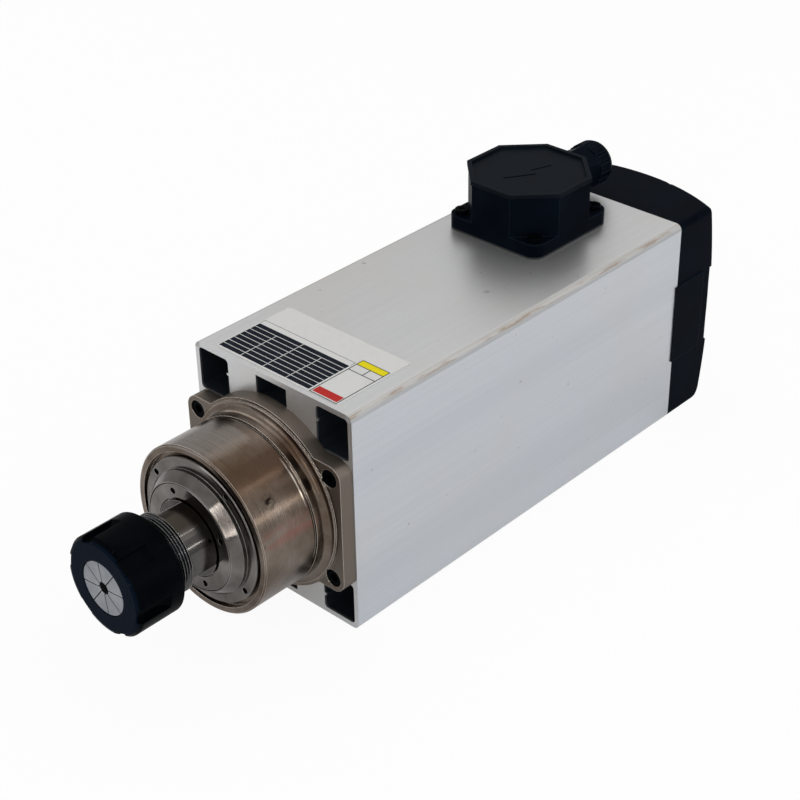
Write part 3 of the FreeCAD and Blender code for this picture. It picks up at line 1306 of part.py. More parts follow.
def cable_gland():
    place = dict(x="terminal_x", z="gland_level")
    inner_end = "gland_face - gland_inner_length"
    body_end = "gland_face + gland_body_length"
    barrel = turned("gland_barrel", [
        (inner_end, "gland_bore_radius"), (inner_end, "gland_thread_radius"),
        (f"{body_end} + gland_nut_length - gland_nut_round - gland_barrel_inset", "gland_thread_radius"),
        (f"{body_end} + gland_nut_length - gland_nut_round - gland_barrel_inset", "gland_bore_radius")])
    collar = prism("gland_collar", 6, "gland_across", "gland_body_length - gland_collar_gap", 0,
                   "gland_face + gland_collar_gap", 0, "+Y", 30)
    through = cylinder("gland_through", "gland_bore_radius", "gland_body_length + 2",
                       y="gland_face - 1")
    node(cut("gland", fuse("gland_solid", [barrel, collar]), [through]), "gland_body", **place)
    end = "gland_nut_start + gland_nut_length"
    cap = turned("gland_cap", [
        ("gland_nut_start", "gland_thread_radius + seat_gap"),
        ("gland_nut_start", "gland_nut_radius - gland_edge"),
        ("gland_nut_start + gland_edge", "gland_nut_radius"),
        (f"{end} - gland_nut_round", "gland_nut_radius"),
        (f"{end} - gland_nut_round * 0.3", "gland_nut_radius - gland_nut_round * 0.3"),
        (end, "gland_nut_radius - gland_nut_round"),
        (end, "gland_nut_mouth"),
        (f"{end} - gland_crown", "gland_nut_mouth"),
        (f"{end} - gland_crown", "gland_thread_radius + seat_gap")])
    count = round(number("gland_rib_count"))
    grooves = [radial_box(f"gland_groove_{k}", "gland_nut_radius - gland_rib_depth",
                          "gland_nut_radius + 1", "gland_nut_start - 1", f"{end} - gland_nut_round",
                          "gland_rib_gap", f"{k * 360 / count}") for k in range(count)]
    node(cut("gland_cap_ribbed", cap, grooves), "gland_nut", **place)
    seal_end = f"{end} - gland_seal_place"
    seal = turned("gland_seal_turning", [
        (f"{seal_end} - gland_seal_length", "gland_seal_radius"),
        (f"{seal_end} - gland_seal_length", "gland_bore_radius - seat_gap"),
        (seal_end, "gland_bore_radius - seat_gap"), (seal_end, "gland_seal_radius")])
    node(seal, "gland_seal", **place)
    wall_face = "gland_face - tower_wall"
    nut = prism("gland_nut_hex", 6, "2 * gland_locknut_radius * cos(30)", "gland_locknut_width", 0,
                f"{wall_face} - face_gap - gland_locknut_width", 0, "+Y")
    hole = cylinder("gland_nut_hole", "gland_thread_radius + seat_gap", "gland_locknut_width + 2", 0,
                    f"{wall_face} - gland_locknut_width - 1", 0)
    node(cut("gland_nut_inner", nut, [hole]), "gland_locknut", **place)


def terminals():
    foot = "housing_height + face_gap"
    x0 = "terminal_x + block_shift - block_length / 2"
    x1 = "terminal_x + block_shift + block_length / 2"
    y0 = "terminal_y - block_width / 2"
    y1 = "terminal_y + block_width / 2"
    block = box("terminal_body", x0, x1, y0, y1, f"{foot} + block_foot",
                f"{foot} + block_foot + block_height")
    feet = [box(f"terminal_foot_{k}", x0 if k else f"{x1} - block_foot_length",
                f"{x0} + block_foot_length" if k else x1, y0, y1, foot, f"{foot} + block_foot + 1")
            for k in range(2)]
    top = f"{foot} + block_foot + block_height"
    count = round(number("terminal_count"))
    sinks, heads = [], []
    for k in range(count):
        for row in (-1, 1):
            x = f"terminal_x + block_shift + {k - (count - 1) / 2} * terminal_pitch"
            y = f"terminal_y + {row} * block_width / 4"
            sinks.append(cylinder(f"terminal_sink_{k}_{row}", "terminal_screw_radius + seat_gap",
                                  "terminal_sink_depth + 2", x, y, f"{top} - terminal_sink_depth", "+Z"))
            head = cylinder(f"terminal_head_{k}_{row}", "terminal_screw_radius",
                            "terminal_screw_height", x, y,
                            f"{top} - terminal_sink_depth + face_gap", "+Z")
            line = box(f"terminal_line_{k}_{row}", f"{x} - terminal_line_length / 2",
                       f"{x} + terminal_line_length / 2", f"{y} - terminal_line_width / 2",
                       f"{y} + terminal_line_width / 2",
                       f"{top} - terminal_sink_depth + terminal_screw_height - terminal_line_depth", top)
            heads.append(cut(f"terminal_screw_{k}_{row}", head, [line]))
    node(cut("terminal_strip", fuse("terminal_solid", [block] + feet), sinks), "terminal_block")
    node(group("terminal_heads", heads), "terminal_screws")
    start = "axis_height + stator_slot_floor - lead_block_drop + face_gap"
    end = f"{foot} + block_foot - face_gap"
    count = round(number("lead_count"))
    leads = [cylinder(f"lead_{k}", "lead_radius", f"({end}) - ({start})",
                      f"lead_hole_x + {k - (count - 1) / 2} * lead_spacing", "terminal_y", start, "+Z")
             for k in range(count)]
    node(group("leads", leads), "phase_leads")
    x, y = "terminal_x + earth_x", "terminal_y + earth_y"
    head = cylinder("earth_head", "earth_head_radius", "earth_head_height", x, y, foot, "+Z")
    shank = cylinder("earth_shank", "m4_core - seat_gap", "earth_length", x, y, foot, "-Z")
    line = box("earth_line", f"{x} - earth_line_length / 2", f"{x} + earth_line_length / 2",
               f"{y} - earth_line_width / 2", f"{y} + earth_line_width / 2",
               f"{foot} + earth_head_height - earth_line_depth", f"{foot} + earth_head_height + 1")
    node(cut("earth", fuse("earth_blank", [head, shank]), [line]), "earth_screw")


def label():
    sheet_plate = box("label_sheet", "-label_width / 2", "label_width / 2",
                      "front_face + label_setback", "front_face + label_setback + label_length",
                      "housing_height", "housing_height + label_thickness")
    node(rounded("label_round", sheet_plate, "label_corner_radius", along_z), "data_label")


housing()
front_flange()
nose_rings()
front_bearings()
shaft()
collet_and_nut()
motor()
rear_bearing()
fan()
rear_cover()
terminal_box()
cable_gland()
terminals()
label()
doc.recompute()

failed = [item.Label for item in doc.Objects if "Invalid" in item.State or "Error" in item.State]
if failed:
    raise RuntimeError("not built: " + ", ".join(failed))
for item in nodes:
    if item.Shape.isNull() or not item.Shape.isValid():
        raise RuntimeError(item.Label + " has no valid shape")

os.makedirs("parts", exist_ok=True)
for item in nodes:
    item.Shape.exportStep(f"parts/{item.Label}.step")
    print(f"{item.Label}: {len(item.Shape.Solids)} solids, {item.Shape.Volume / 1000:.2f} cm3")
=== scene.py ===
import json
import math

import bpy
import numpy as np
from mathutils import Matrix, Vector


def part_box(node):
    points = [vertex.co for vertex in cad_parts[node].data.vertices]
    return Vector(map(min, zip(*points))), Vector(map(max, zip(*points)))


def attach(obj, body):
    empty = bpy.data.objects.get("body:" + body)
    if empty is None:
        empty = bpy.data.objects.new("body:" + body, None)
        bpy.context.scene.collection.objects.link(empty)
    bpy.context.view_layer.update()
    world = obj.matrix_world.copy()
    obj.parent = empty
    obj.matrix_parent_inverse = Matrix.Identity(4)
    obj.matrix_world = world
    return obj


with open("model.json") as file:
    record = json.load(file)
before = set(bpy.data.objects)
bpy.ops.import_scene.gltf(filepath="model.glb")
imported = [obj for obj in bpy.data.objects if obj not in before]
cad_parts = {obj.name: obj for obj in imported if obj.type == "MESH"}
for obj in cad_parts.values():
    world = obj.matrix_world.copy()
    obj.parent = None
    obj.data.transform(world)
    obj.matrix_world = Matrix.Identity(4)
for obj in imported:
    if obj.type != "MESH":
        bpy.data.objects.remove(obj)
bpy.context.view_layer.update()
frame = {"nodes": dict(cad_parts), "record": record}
nodes = frame["nodes"]
print("frame loaded:", len(nodes), "nodes")

axisHeight = 0.060  # the spindle axis runs along Y at this height
housingLow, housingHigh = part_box("housing_extrusion")
noseRadius = 0.043  # the round part of the nose casting


# One Principled material, with short calls for the nodes that feed it
class Finish:
    edgeSamples = 6

    def __init__(self, name, soft=0.0, **sockets):
        self.material = bpy.data.materials.new(name)
        self.material.use_nodes = True
        self.tree = self.material.node_tree
        self.shader = self.tree.nodes["Principled BSDF"]
        self.coordinates = self.tree.nodes.new("ShaderNodeTexCoord").outputs["Object"]
        # a Bevel node rounds the look of sharp edges by this radius in metres
        self.edge = self.node("Bevel", {"samples": self.edgeSamples}, Radius=soft) if soft else None
        for socket, value in sockets.items():
            self.feed(self.shader.inputs[socket.replace("_", " ")], value)

    def feed(self, socket, value):
        if isinstance(value, bpy.types.NodeSocket):
            self.tree.links.new(value, socket)
        else:
            socket.default_value = value

    # a new node's output; i0, i1 and so on feed its sockets by number, other names by name
    def node(self, kind, settings=None, out=0, **inputs):
        made = self.tree.nodes.new("ShaderNode" + kind)
        for key, value in (settings or {}).items():
            setattr(made, key, value)
        for key, value in inputs.items():
            which = int(key[1:]) if key[1:].isdigit() else key.replace("_", " ")
            self.feed(made.inputs[which], value)
        return made.outputs[out]

    def math(self, operation, first, second=0.0, third=0.0):
        return self.node("Math", {"operation": operation}, i0=first, i1=second, i2=third)

    # the product of several masks
    def times(self, *values):
        result = values[0]
        for value in values[1:]:
            result = self.math("MULTIPLY", result, value)
        return result

    def axes(self):
        split = self.tree.nodes.new("ShaderNodeSeparateXYZ")
        self.feed(split.inputs[0], self.coordinates)
        return split.outputs

    def stretched(self, x, y, z, turn=(0, 0, 0)):
        return self.node("Mapping", Vector=self.coordinates, Scale=(x, y, z), Rotation=turn)

    def noise(self, place, scale=1.0, detail=2.0, roughness=0.5):
        return self.node("TexNoise", Vector=place, Scale=scale, Detail=detail, Roughness=roughness)

    def blend(self, amount, first, second, way="MIX"):
        made = self.tree.nodes.new("ShaderNodeMix")
        made.data_type = "RGBA"
        made.blend_type = way
        self.feed(made.inputs[0], amount)
        for socket, value in ((made.inputs[6], first), (made.inputs[7], second)):
            self.feed(socket, (*value, 1) if isinstance(value, tuple) else value)
        return made.outputs[2]

    # a value carried from start..stop to low..high, and held at both ends
    def spread(self, value, low, high, start=0.0, stop=1.0):
        return self.node("MapRange", Value=value, From_Min=start, From_Max=stop,
                         To_Min=low, To_Max=high)

    # two tones mixed by a noise
    def mixed(self, noise, tones, start=0.35, stop=0.7):
        return self.blend(self.spread(noise, 0.0, 1.0, start, stop), *tones)

    # a roughness or a share that wanders with a noise
    def wandering(self, noise, low, high, start=0.3, stop=0.7):
        return self.spread(noise, low, high, start, stop)

    # an overlay is its tone, its greatest share, and the noise levels where it starts and is full
    def overlay(self, tone, noise, overlay, mask=None):
        over, share, start, stop = overlay
        amount = self.spread(noise, 0.0, share, start, stop)
        if mask is not None:
            amount = self.times(mask, amount)
        return self.blend(amount, tone, over)

    # 1 past a limit along a coordinate, fading over a soft edge
    def past(self, value, limit, soft=0.0002):
        return self.spread(value, 0.0, 1.0, limit - soft, limit + soft)

    # 1 short of a limit
    def shortOf(self, value, limit, soft=0.0002):
        return self.spread(value, 1.0, 0.0, limit - soft, limit + soft)

    # 1 between two limits
    def band(self, value, low, high, soft=0.0002):
        return self.times(self.past(value, low, soft), self.shortOf(value, high, soft))

    # 1 between two turns about the spindle axis, all three in degrees
    def turnBand(self, turn, low, high, soft):
        return self.band(turn, math.radians(low), math.radians(high), math.radians(soft))

    def bump(self, height, distance, strength=1.0, under=None):
        made = self.tree.nodes.new("ShaderNodeBump")
        made.inputs["Distance"].default_value = distance
        made.inputs["Strength"].default_value = strength
        self.feed(made.inputs["Height"], height)
        base = under if under is not None else self.edge
        if base is not None:
            self.feed(made.inputs["Normal"], base)
        self.feed(self.shader.inputs["Normal"], made.outputs[0])
        return made.outputs[0]

    # 1 on sharp edges, where the softened normal leans away from the face's own
    def wornEdges(self, low=0.01, high=0.06):
        face = self.tree.nodes.new("ShaderNodeNewGeometry").outputs["Normal"]
        lean = self.node("VectorMath", {"operation": "DOT_PRODUCT"}, out=1, i0=self.edge, i1=face)
        return self.spread(self.math("SUBTRACT", 1.0, lean), 0.0, 1.0, low, high)

    # distance from the spindle axis: sqrt(x^2 + (z - axis height)^2), and the place along Y
    def axisRadius(self):
        x, y, z = self.axes()
        up = self.math("SUBTRACT", z, axisHeight)
        square = self.math("ADD", self.times(x, x), self.times(up, up))
        return self.math("SQRT", square), y

    # turn about the spindle axis in radians, 0 at +X and rising towards +Z
    def axisTurn(self):
        x, y, z = self.axes()
        return self.math("ARCTAN2", self.math("SUBTRACT", z, axisHeight), x)

    # a coordinate whose noise runs in rings round the spindle axis, as a lathe leaves it
    def turnedLines(self, pitch):
        radius, along = self.axisRadius()
        return self.node("CombineXYZ", X=self.math("DIVIDE", radius, pitch),
                         Y=self.math("DIVIDE", along, pitch), Z=0.0)


# Satin aluminium profile: fine grain, drawn lines along Y, painted shade in the channels and on the
# handled corners, and sides painted cooler
profileLook = {
    "tones": ((0.585, 0.591, 0.602), (0.680, 0.685, 0.695)),
    "drawn": ((0.54, 0.548, 0.565), 0.4, 0.42, 0.72),
    "stained": ((0.62, 0.595, 0.565), 0.5, 0.45, 0.72),
    "nicks": ((0.30, 0.225, 0.165), 0.45, 0.735, 0.765),
    # the grain is in metres and the scales are per metre; lines and marks are stretched along Y
    "grainSize": 0.00035, "drawnScale": (700, 5, 700), "marksScale": (300, 34, 300),
    "stainScale": 16, "nickScale": 210,
    "roughness": (0.31, 0.41), "grainBump": (0.00002, 0.5), "drawnBump": (0.00002, 0.35),
    "dieBands": ((0.018, 0.040), (0.079, 0.094)), "dieShare": 0.30,  # heights on the sides
    # painted shade on the rounded upper corners
    "shadedCorner": (0.38, 0.365, 0.345), "cornerRoughness": 0.25,
    "cornerDepth": 0.0034, "cornerWidth": 0.0032,  # how far the painted-dark corners reach in
    "brown": ((0.30, 0.225, 0.165), 0.7, 0.49, 0.60),
    "brownFrom": 0.0018, "brownTo": 0.0003,  # the brown line, in from both faces
    # the sides' painted cooler light, and where it starts
    "paintedSideTint": (0.915, 0.950, 1.0), "sideEdge": 0.00055,
    # painted shade in the channels
    "channelShade": (0.085, 0.105, 0.135),
    # metal this near the outside keeps its own tone
    "skin": {"side": 0.0018, "front": 0.0008, "rear": 0.0009, "top": 0.0020},
}


def satinProfile():
    look = profileLook
    halfWidth, rear, top = housingHigh
    front, skin = housingLow[1], look["skin"]
    f = Finish("satinProfile", Metallic=0.9)
    x, y, z = f.axes()
    aside = f.math("ABSOLUTE", x)
    grain = f.noise(f.coordinates, 1 / look["grainSize"], 3)
    drawn = f.noise(f.stretched(*look["drawnScale"]), 1.0, 4, 0.6)
    tone = f.mixed(grain, look["tones"], 0.3)
    tone = f.overlay(tone, drawn, look["drawn"])
    tone = f.overlay(tone, f.noise(f.coordinates, look["stainScale"], 4), look["stained"])
    # wide bands along the sides, where the die worked harder
    lower, upper = (f.band(z, low, high, 0.004) for low, high in look["dieBands"])
    tone = f.blend(f.times(f.math("ADD", lower, upper), look["dieShare"]), tone, look["drawn"][0])
    # the rounded upper corners get painted shade, darker over most of them, that hides the
    # highlight they catch, and brown handling marks along their middle
    shadedCorner = f.times(f.past(z, top - look["cornerDepth"], 0.0005),
                     f.past(aside, halfWidth - look["cornerWidth"], 0.0005))
    tone = f.blend(f.times(shadedCorner, f.spread(drawn, 0.55, 0.80, 0.4, 0.7)), tone, look["shadedCorner"])
    start, stop = look["brownFrom"], look["brownTo"]
    middle = f.times(f.band(z, top - start, top - stop, 0.0003),
                     f.band(aside, halfWidth - start, halfWidth - stop, 0.0003))
    marks = f.noise(f.stretched(*look["marksScale"]), 1.0, 5, 0.65)
    tone = f.overlay(tone, marks, look["brown"], middle)
    tone = f.overlay(tone, f.noise(f.coordinates, look["nickScale"], 2), look["nicks"])
    # the upright sides are painted a little cooler than the top, as the cooler light they catch
    paintedSide = f.past(aside, halfWidth - look["sideEdge"], 0.00045)
    tone = f.blend(paintedSide, tone, f.blend(1.0, tone, look["paintedSideTint"], "MULTIPLY"))
    # inside the channels the metal is painted dark: painted shade in the deep channels
    shadedInside = f.times(f.band(x, skin["side"] - halfWidth, halfWidth - skin["side"], 0.0003),
                     f.band(z, skin["top"], top - skin["top"], 0.0003),
                     f.band(y, front + skin["front"], rear - skin["rear"], 0.0007))
    tone = f.blend(shadedInside, tone, look["channelShade"])
    f.feed(f.shader.inputs["Base Color"], tone)
    rough = f.wandering(grain, *look["roughness"])
    rough = f.math("ADD", rough, f.times(shadedCorner, look["cornerRoughness"]))
    f.feed(f.shader.inputs["Roughness"], rough)
    fine = f.bump(grain, *look["grainBump"])
    f.bump(drawn, *look["drawnBump"], fine)
    return f.material


# Nickel-coloured nose casting: lathe rings, painted brown and pale reflections, painted highlight
# lines, a stain and a faint painted red reflection.
# Turns are degrees about the axis and places are along Y: low, high and the soft edge
noseLook = {
    "tones": ((0.080, 0.054, 0.037), (0.255, 0.215, 0.186)),
    "ringed": ((0.150, 0.118, 0.092), 0.5, 0.4, 0.7),
    "specks": ((0.06, 0.045, 0.035), 0.5, 0.62, 0.74),
    "ringPitch": 0.00022, "coarsePitch": 0.0012, "cloudScale": 26, "speckScale": 420,
    "ringBump": (0.000012, 0.55), "speckBump": (0.00002, 0.2),
    "roughness": (0.17, 0.27), "cloudRoughness": 0.07,
    "softEdge": 0.00035, "edges": (0.62, 0.56, 0.50), "edgeGloss": 0.08,
    # painted reflections of the room: a brown band and a pale stretch
    "brownReflection": (0.040, 0.019, 0.009), "brownReflectionTurn": (45, 70, 7), "brownReflectionShare": (0.70, 0.90),
    "pale": (0.30, 0.275, 0.255), "paleTurn": (81, 112, 7), "paleShare": (0.40, 0.75),
    "paleRear": -0.147,
    # painted highlight lines on the shoulder
    "paintedGlint": (0.74, 0.66, 0.58), "paintedGlintTurn": (27, 51, 6), "paintedGlintShare": 0.85,
    "paintedGlintLines": ((-0.1437, -0.1429), (-0.1411, -0.1405)),
    "stain": (0.016, 0.010, 0.008), "stainTurn": 37, "stainPlace": -0.1605,
    "stainRadius": 0.0028, "stainFade": 0.0014, "stainScale": 620, "stainBreaks": (0.47, 0.53),
    # a painted red reflection
    "redReflection": ((0.27, 0.060, 0.045), 0.55, 0.40, 0.62), "redReflectionTurn": (11.5, 18.9, 5.2),
    "redReflectionPlace": (-0.171, -0.140, 0.003), "redReflectionScale": (160, 60, 240),
    "ears": (0.165, 0.140, 0.118), "earsRadius": 0.0486, "dullRoughness": 0.26,
}


def nickelCasting():
    look = noseLook
    f = Finish("nickelCasting", soft=look["softEdge"], Metallic=1.0)
    rings = f.noise(f.turnedLines(look["ringPitch"]), 1.0, 2)
    coarse = f.noise(f.turnedLines(look["coarsePitch"]), 1.0, 3)
    clouds = f.noise(f.coordinates, look["cloudScale"], 5, 0.6)
    specks = f.noise(f.coordinates, look["speckScale"], 3)
    radius, along = f.axisRadius()
    turn = f.axisTurn()
    tone = f.mixed(clouds, look["tones"], 0.33, 0.68)
    tone = f.overlay(tone, coarse, look["ringed"])
    tone = f.overlay(tone, specks, look["specks"])
    # on the round nose: painted reflections, brown along the upper right and a paler stretch on
    # top, which stand in for the room that it mirrors
    barrel = f.past(radius, noseRadius - 0.0015, 0.0005)
    brown = f.times(f.turnBand(turn, *look["brownReflectionTurn"]),
                    f.wandering(clouds, *look["brownReflectionShare"], 0.35, 0.65), barrel)
    tone = f.blend(brown, tone, look["brownReflection"])
    pale = f.times(f.turnBand(turn, *look["paleTurn"]),
                   f.wandering(coarse, *look["paleShare"], 0.35, 0.65),
                   f.shortOf(along, look["paleRear"], 0.001), barrel)
    tone = f.blend(pale, tone, look["pale"])
    # two lines on the shoulder behind it get a painted highlight on the right
    first, second = (f.band(along, *line) for line in look["paintedGlintLines"])
    shoulder = f.times(f.math("ADD", first, second), f.turnBand(turn, *look["paintedGlintTurn"]))
    tone = f.blend(f.times(shoulder, look["paintedGlintShare"]), tone, look["paintedGlint"])
    # the stain: a broken spot on the upper right, by its distance over the round surface
    aside = f.times(f.math("SUBTRACT", turn, math.radians(look["stainTurn"])), noseRadius)
    back = f.math("SUBTRACT", along, look["stainPlace"])
    far = f.math("SQRT", f.math("ADD", f.times(aside, aside), f.times(back, back)))
    blotches = f.noise(f.coordinates, look["stainScale"], 3, 0.6)
    broken = f.spread(blotches, 0.0, 1.0, *look["stainBreaks"])
    stained = f.times(f.shortOf(far, look["stainRadius"], look["stainFade"]), broken)
    tone = f.blend(stained, tone, look["stain"])
    # a painted red reflection: a soft ragged streak lower on the right
    streak = f.times(f.turnBand(turn, *look["redReflectionTurn"]), f.band(along, *look["redReflectionPlace"]),
                     barrel)
    ragged = f.noise(f.stretched(*look["redReflectionScale"]), 1.0, 4)
    tone = f.overlay(tone, ragged, look["redReflection"], streak)
    # the ears are milled, not turned: duller, and of one tone
    ears = f.past(radius, look["earsRadius"], 0.0003)
    tone = f.blend(ears, tone, look["ears"])
    # edges rubbed bright by handling
    worn = f.wornEdges()
    tone = f.blend(worn, tone, look["edges"])
    f.feed(f.shader.inputs["Base Color"], tone)
    rough = f.math("ADD", f.wandering(rings, *look["roughness"]),
                   f.wandering(clouds, 0.0, look["cloudRoughness"], 0.4))
    dull = f.times(f.math("MAXIMUM", ears, stained), look["dullRoughness"])
    rough = f.math("ADD", rough, dull)
    rough = f.math("SUBTRACT", rough, f.times(worn, look["edgeGloss"]))
    f.feed(f.shader.inputs["Roughness"], rough)
    lathe = f.bump(rings, *look["ringBump"])
    f.bump(specks, *look["speckBump"], lathe)
    return f.material


# Turned and ground steel. The shaft has a painted brown reflection over its top, which stands in
# for the room that it mirrors, and is darker in its thread
steelLook = {
    "tones": ((0.050, 0.047, 0.044), (0.110, 0.105, 0.100)),
    "ringTones": ((0.105, 0.095, 0.088), (0.235, 0.220, 0.208)),
    "ringPitch": 0.00012, "ringBump": (0.000008, 0.5), "cloudScale": 60,
    "roughness": (0.09, 0.17), "softEdge": 0.00025, "edges": (0.38, 0.375, 0.37),
    # a painted brown reflection over the shaft's top
    "brownReflection": (0.030, 0.023, 0.017), "brownReflectionTurn": (50, 120, 8), "brownReflectionShare": (0.63, 0.875),
    "threadTone": (0.070, 0.074, 0.082), "threadShare": 0.7,
    "threadRear": -0.1956, "threadRadius": 0.0173,
}


def groundSteel(name, tones, isShaft=False):
    look = steelLook
    f = Finish(name, soft=look["softEdge"], Metallic=1.0)
    rings = f.noise(f.turnedLines(look["ringPitch"]), 1.0, 2)
    clouds = f.noise(f.coordinates, look["cloudScale"], 4)
    tone = f.mixed(clouds, tones)
    if isShaft:
        brown = f.times(f.turnBand(f.axisTurn(), *look["brownReflectionTurn"]),
                        f.wandering(clouds, *look["brownReflectionShare"], 0.35, 0.65))
        tone = f.blend(brown, tone, look["brownReflection"])
    tone = f.blend(f.wornEdges(), tone, look["edges"])
    if isShaft:
        radius, along = f.axisRadius()
        thread = f.times(f.shortOf(along, look["threadRear"], 0.0006),
                         f.past(radius, look["threadRadius"], 0.0003), look["threadShare"])
        tone = f.blend(thread, tone, look["threadTone"])
    f.feed(f.shader.inputs["Base Color"], tone)
    f.feed(f.shader.inputs["Roughness"], f.wandering(rings, *look["roughness"]))
    f.bump(rings, *look["ringBump"])
    return f.material


# Bearing rings, balls and spacers: bright and nearly smooth
bearingLook = {
    "tones": ((0.56, 0.57, 0.58), (0.66, 0.67, 0.68)), "roughness": (0.08, 0.16),
    "cloudScale": 90, "ringPitch": 0.00015, "ringBump": (0.000004, 0.3),
}


def bearingSteel():
    look = bearingLook
    f = Finish("bearingSteel", Metallic=1.0)
    clouds = f.noise(f.coordinates, look["cloudScale"], 3)
    f.feed(f.shader.inputs["Base Color"], f.mixed(clouds, look["tones"]))
    f.feed(f.shader.inputs["Roughness"], f.wandering(clouds, *look["roughness"]))
    f.bump(f.noise(f.turnedLines(look["ringPitch"]), 1.0, 1), *look["ringBump"])
    return f.material


# Blackened steel: nearly black, the nut's front face painted bluer and lighter as the light it
# catches, with a few worn spots
blackLook = {
    "tones": ((0.0006, 0.0010, 0.0017), (0.0014, 0.0022, 0.0034)),
    # the front face's painted light, and how deep it reaches
    "face": (0.0018, 0.0052, 0.0125), "faceDepth": 0.00075,
    "worn": ((0.026, 0.031, 0.038), 0.6, 0.67, 0.75),
    "cloudScale": 70, "spotScale": 150, "grainScale": 1800, "grainBump": (0.00001, 0.5),
    "roughness": (0.26, 0.38), "softEdge": 0.0005, "ior": 1.06,
}


def blackenedSteel():
    look = blackLook
    f = Finish("blackenedSteel", soft=look["softEdge"], IOR=look["ior"])
    clouds = f.noise(f.coordinates, look["cloudScale"], 4)
    tone = f.mixed(clouds, look["tones"])
    x, y, z = f.axes()
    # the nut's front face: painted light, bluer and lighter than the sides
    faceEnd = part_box("collet_nut")[0][1] + look["faceDepth"]
    tone = f.blend(f.shortOf(y, faceEnd, 0.00045), tone, look["face"])
    tone = f.overlay(tone, f.noise(f.coordinates, look["spotScale"], 5, 0.65), look["worn"])
    f.feed(f.shader.inputs["Base Color"], tone)
    f.feed(f.shader.inputs["Roughness"], f.wandering(clouds, *look["roughness"]))
    f.bump(f.noise(f.coordinates, look["grainScale"], 3), *look["grainBump"])
    return f.material


# Spring steel of the collet: grey ground segments and a bore painted dark as shade
colletLook = {
    "tones": ((0.23, 0.245, 0.27), (0.31, 0.325, 0.35)), "roughness": (0.38, 0.50),
    "cloudScale": 120, "grainScale": 2400, "grainBump": (0.000012, 0.5),
    "bore": (0.015, 0.015, 0.016), "boreRadius": 0.0032, "boreFront": -0.2291, "boreShare": 0.9,
}


def colletSteel():
    look = colletLook
    f = Finish("colletSteel", Metallic=0.8)
    grain = f.noise(f.coordinates, look["grainScale"], 3)
    radius, along = f.axisRadius()
    tone = f.mixed(f.noise(f.coordinates, look["cloudScale"], 4), look["tones"])
    # painted shade inside the bore
    shadedInside = f.times(f.shortOf(radius, look["boreRadius"]),
                     f.past(along, look["boreFront"], 0.0003), look["boreShare"])
    tone = f.blend(shadedInside, tone, look["bore"])
    f.feed(f.shader.inputs["Base Color"], tone)
    f.feed(f.shader.inputs["Roughness"], f.wandering(grain, *look["roughness"]))
    f.bump(grain, *look["grainBump"])
    return f.material


# Stacked sheets of the stator and rotor: thin lines across the axis
stackLook = {"tones": ((0.165, 0.165, 0.1705), (0.30, 0.30, 0.31)), "sheetsPerMetre": 2600,
             "sheetBump": (0.00004, 0.6), "roughness": 0.42}


def stackedSheets():
    look = stackLook
    f = Finish("laminationSteel", Metallic=0.8, Roughness=look["roughness"])
    x, y, z = f.axes()
    sheets = f.node("TexNoise", {"noise_dimensions": "1D"},
                    W=f.times(y, look["sheetsPerMetre"]), Detail=1.0)
    f.feed(f.shader.inputs["Base Color"], f.blend(sheets, *look["tones"]))
    f.bump(sheets, *look["sheetBump"])
    return f.material


# Enamelled copper: the windings' wires run round the axis
copperLook = {"tones": ((0.20, 0.06, 0.02), (0.52, 0.20, 0.08)), "wire": 0.0009,
              "wireBump": (0.0003, 0.8), "roughness": 0.32}


def enamelledCopper():
    look = copperLook
    f = Finish("enamelledCopper", Metallic=0.55, Roughness=look["roughness"])
    wires = f.noise(f.turnedLines(look["wire"]), 1.0, 1)
    f.feed(f.shader.inputs["Base Color"], f.mixed(wires, look["tones"], 0.35, 0.65))
    f.bump(wires, *look["wireBump"])
    return f.material


# Machined brass of the bearing cages
brassLook = {"tones": ((0.58, 0.42, 0.17), (0.72, 0.56, 0.27)), "roughness": (0.22, 0.34),
             "grainScale": 900, "grainBump": (0.00001, 0.4)}


def machinedBrass():
    look = brassLook
    f = Finish("machinedBrass", Metallic=1.0)
    grain = f.noise(f.coordinates, look["grainScale"], 3)
    f.feed(f.shader.inputs["Base Color"], f.mixed(grain, look["tones"], 0.3))
    f.feed(f.shader.inputs["Roughness"], f.wandering(grain, *look["roughness"]))
    f.bump(grain, *look["grainBump"])
    return f.material


# Moulded plastic: a fine spark-eroded grain, cloudy gloss, a little dust and paler edges
plasticLook = {
    "blackPlastic": {"tones": ((0.0012, 0.0024, 0.0048), (0.0028, 0.0052, 0.0096)),
                     "dust": (0.016, 0.025, 0.038), "edges": 0.6, "ior": 1.055},
    "lidPlastic": {"tones": ((0.0030, 0.0050, 0.0080), (0.0056, 0.0086, 0.0128)),
                   "dust": (0.020, 0.029, 0.042), "edges": 0.0, "ior": 1.08},
    "palePlastic": {"tones": ((0.62, 0.60, 0.52), (0.72, 0.70, 0.62)),
                    "dust": (0.70, 0.68, 0.62), "edges": 0.6, "ior": 1.45},
    "dustLevels": (0.22, 0.62, 0.78), "dustScale": 700, "cloudScale": 45,
    "grainSize": 0.00045, "grainBump": (0.00003, 0.5),
    "roughness": (0.33, 0.45), "softEdge": 0.0006,
}


def mouldedPlastic(name):
    look, own = plasticLook, plasticLook[name]
    f = Finish(name, soft=look["softEdge"], IOR=own["ior"])
    clouds = f.noise(f.coordinates, look["cloudScale"], 4)
    tone = f.mixed(clouds, own["tones"])
    dust = f.noise(f.coordinates, look["dustScale"], 4, 0.7)
    tone = f.overlay(tone, dust, (own["dust"], *look["dustLevels"]))
    tone = f.blend(f.times(f.wornEdges(), own["edges"]), tone, own["dust"])
    f.feed(f.shader.inputs["Base Color"], tone)
    f.feed(f.shader.inputs["Roughness"], f.wandering(clouds, *look["roughness"]))
    grain = f.node("TexVoronoi", Vector=f.coordinates, Scale=1 / look["grainSize"])
    f.bump(grain, *look["grainBump"])
    return f.material


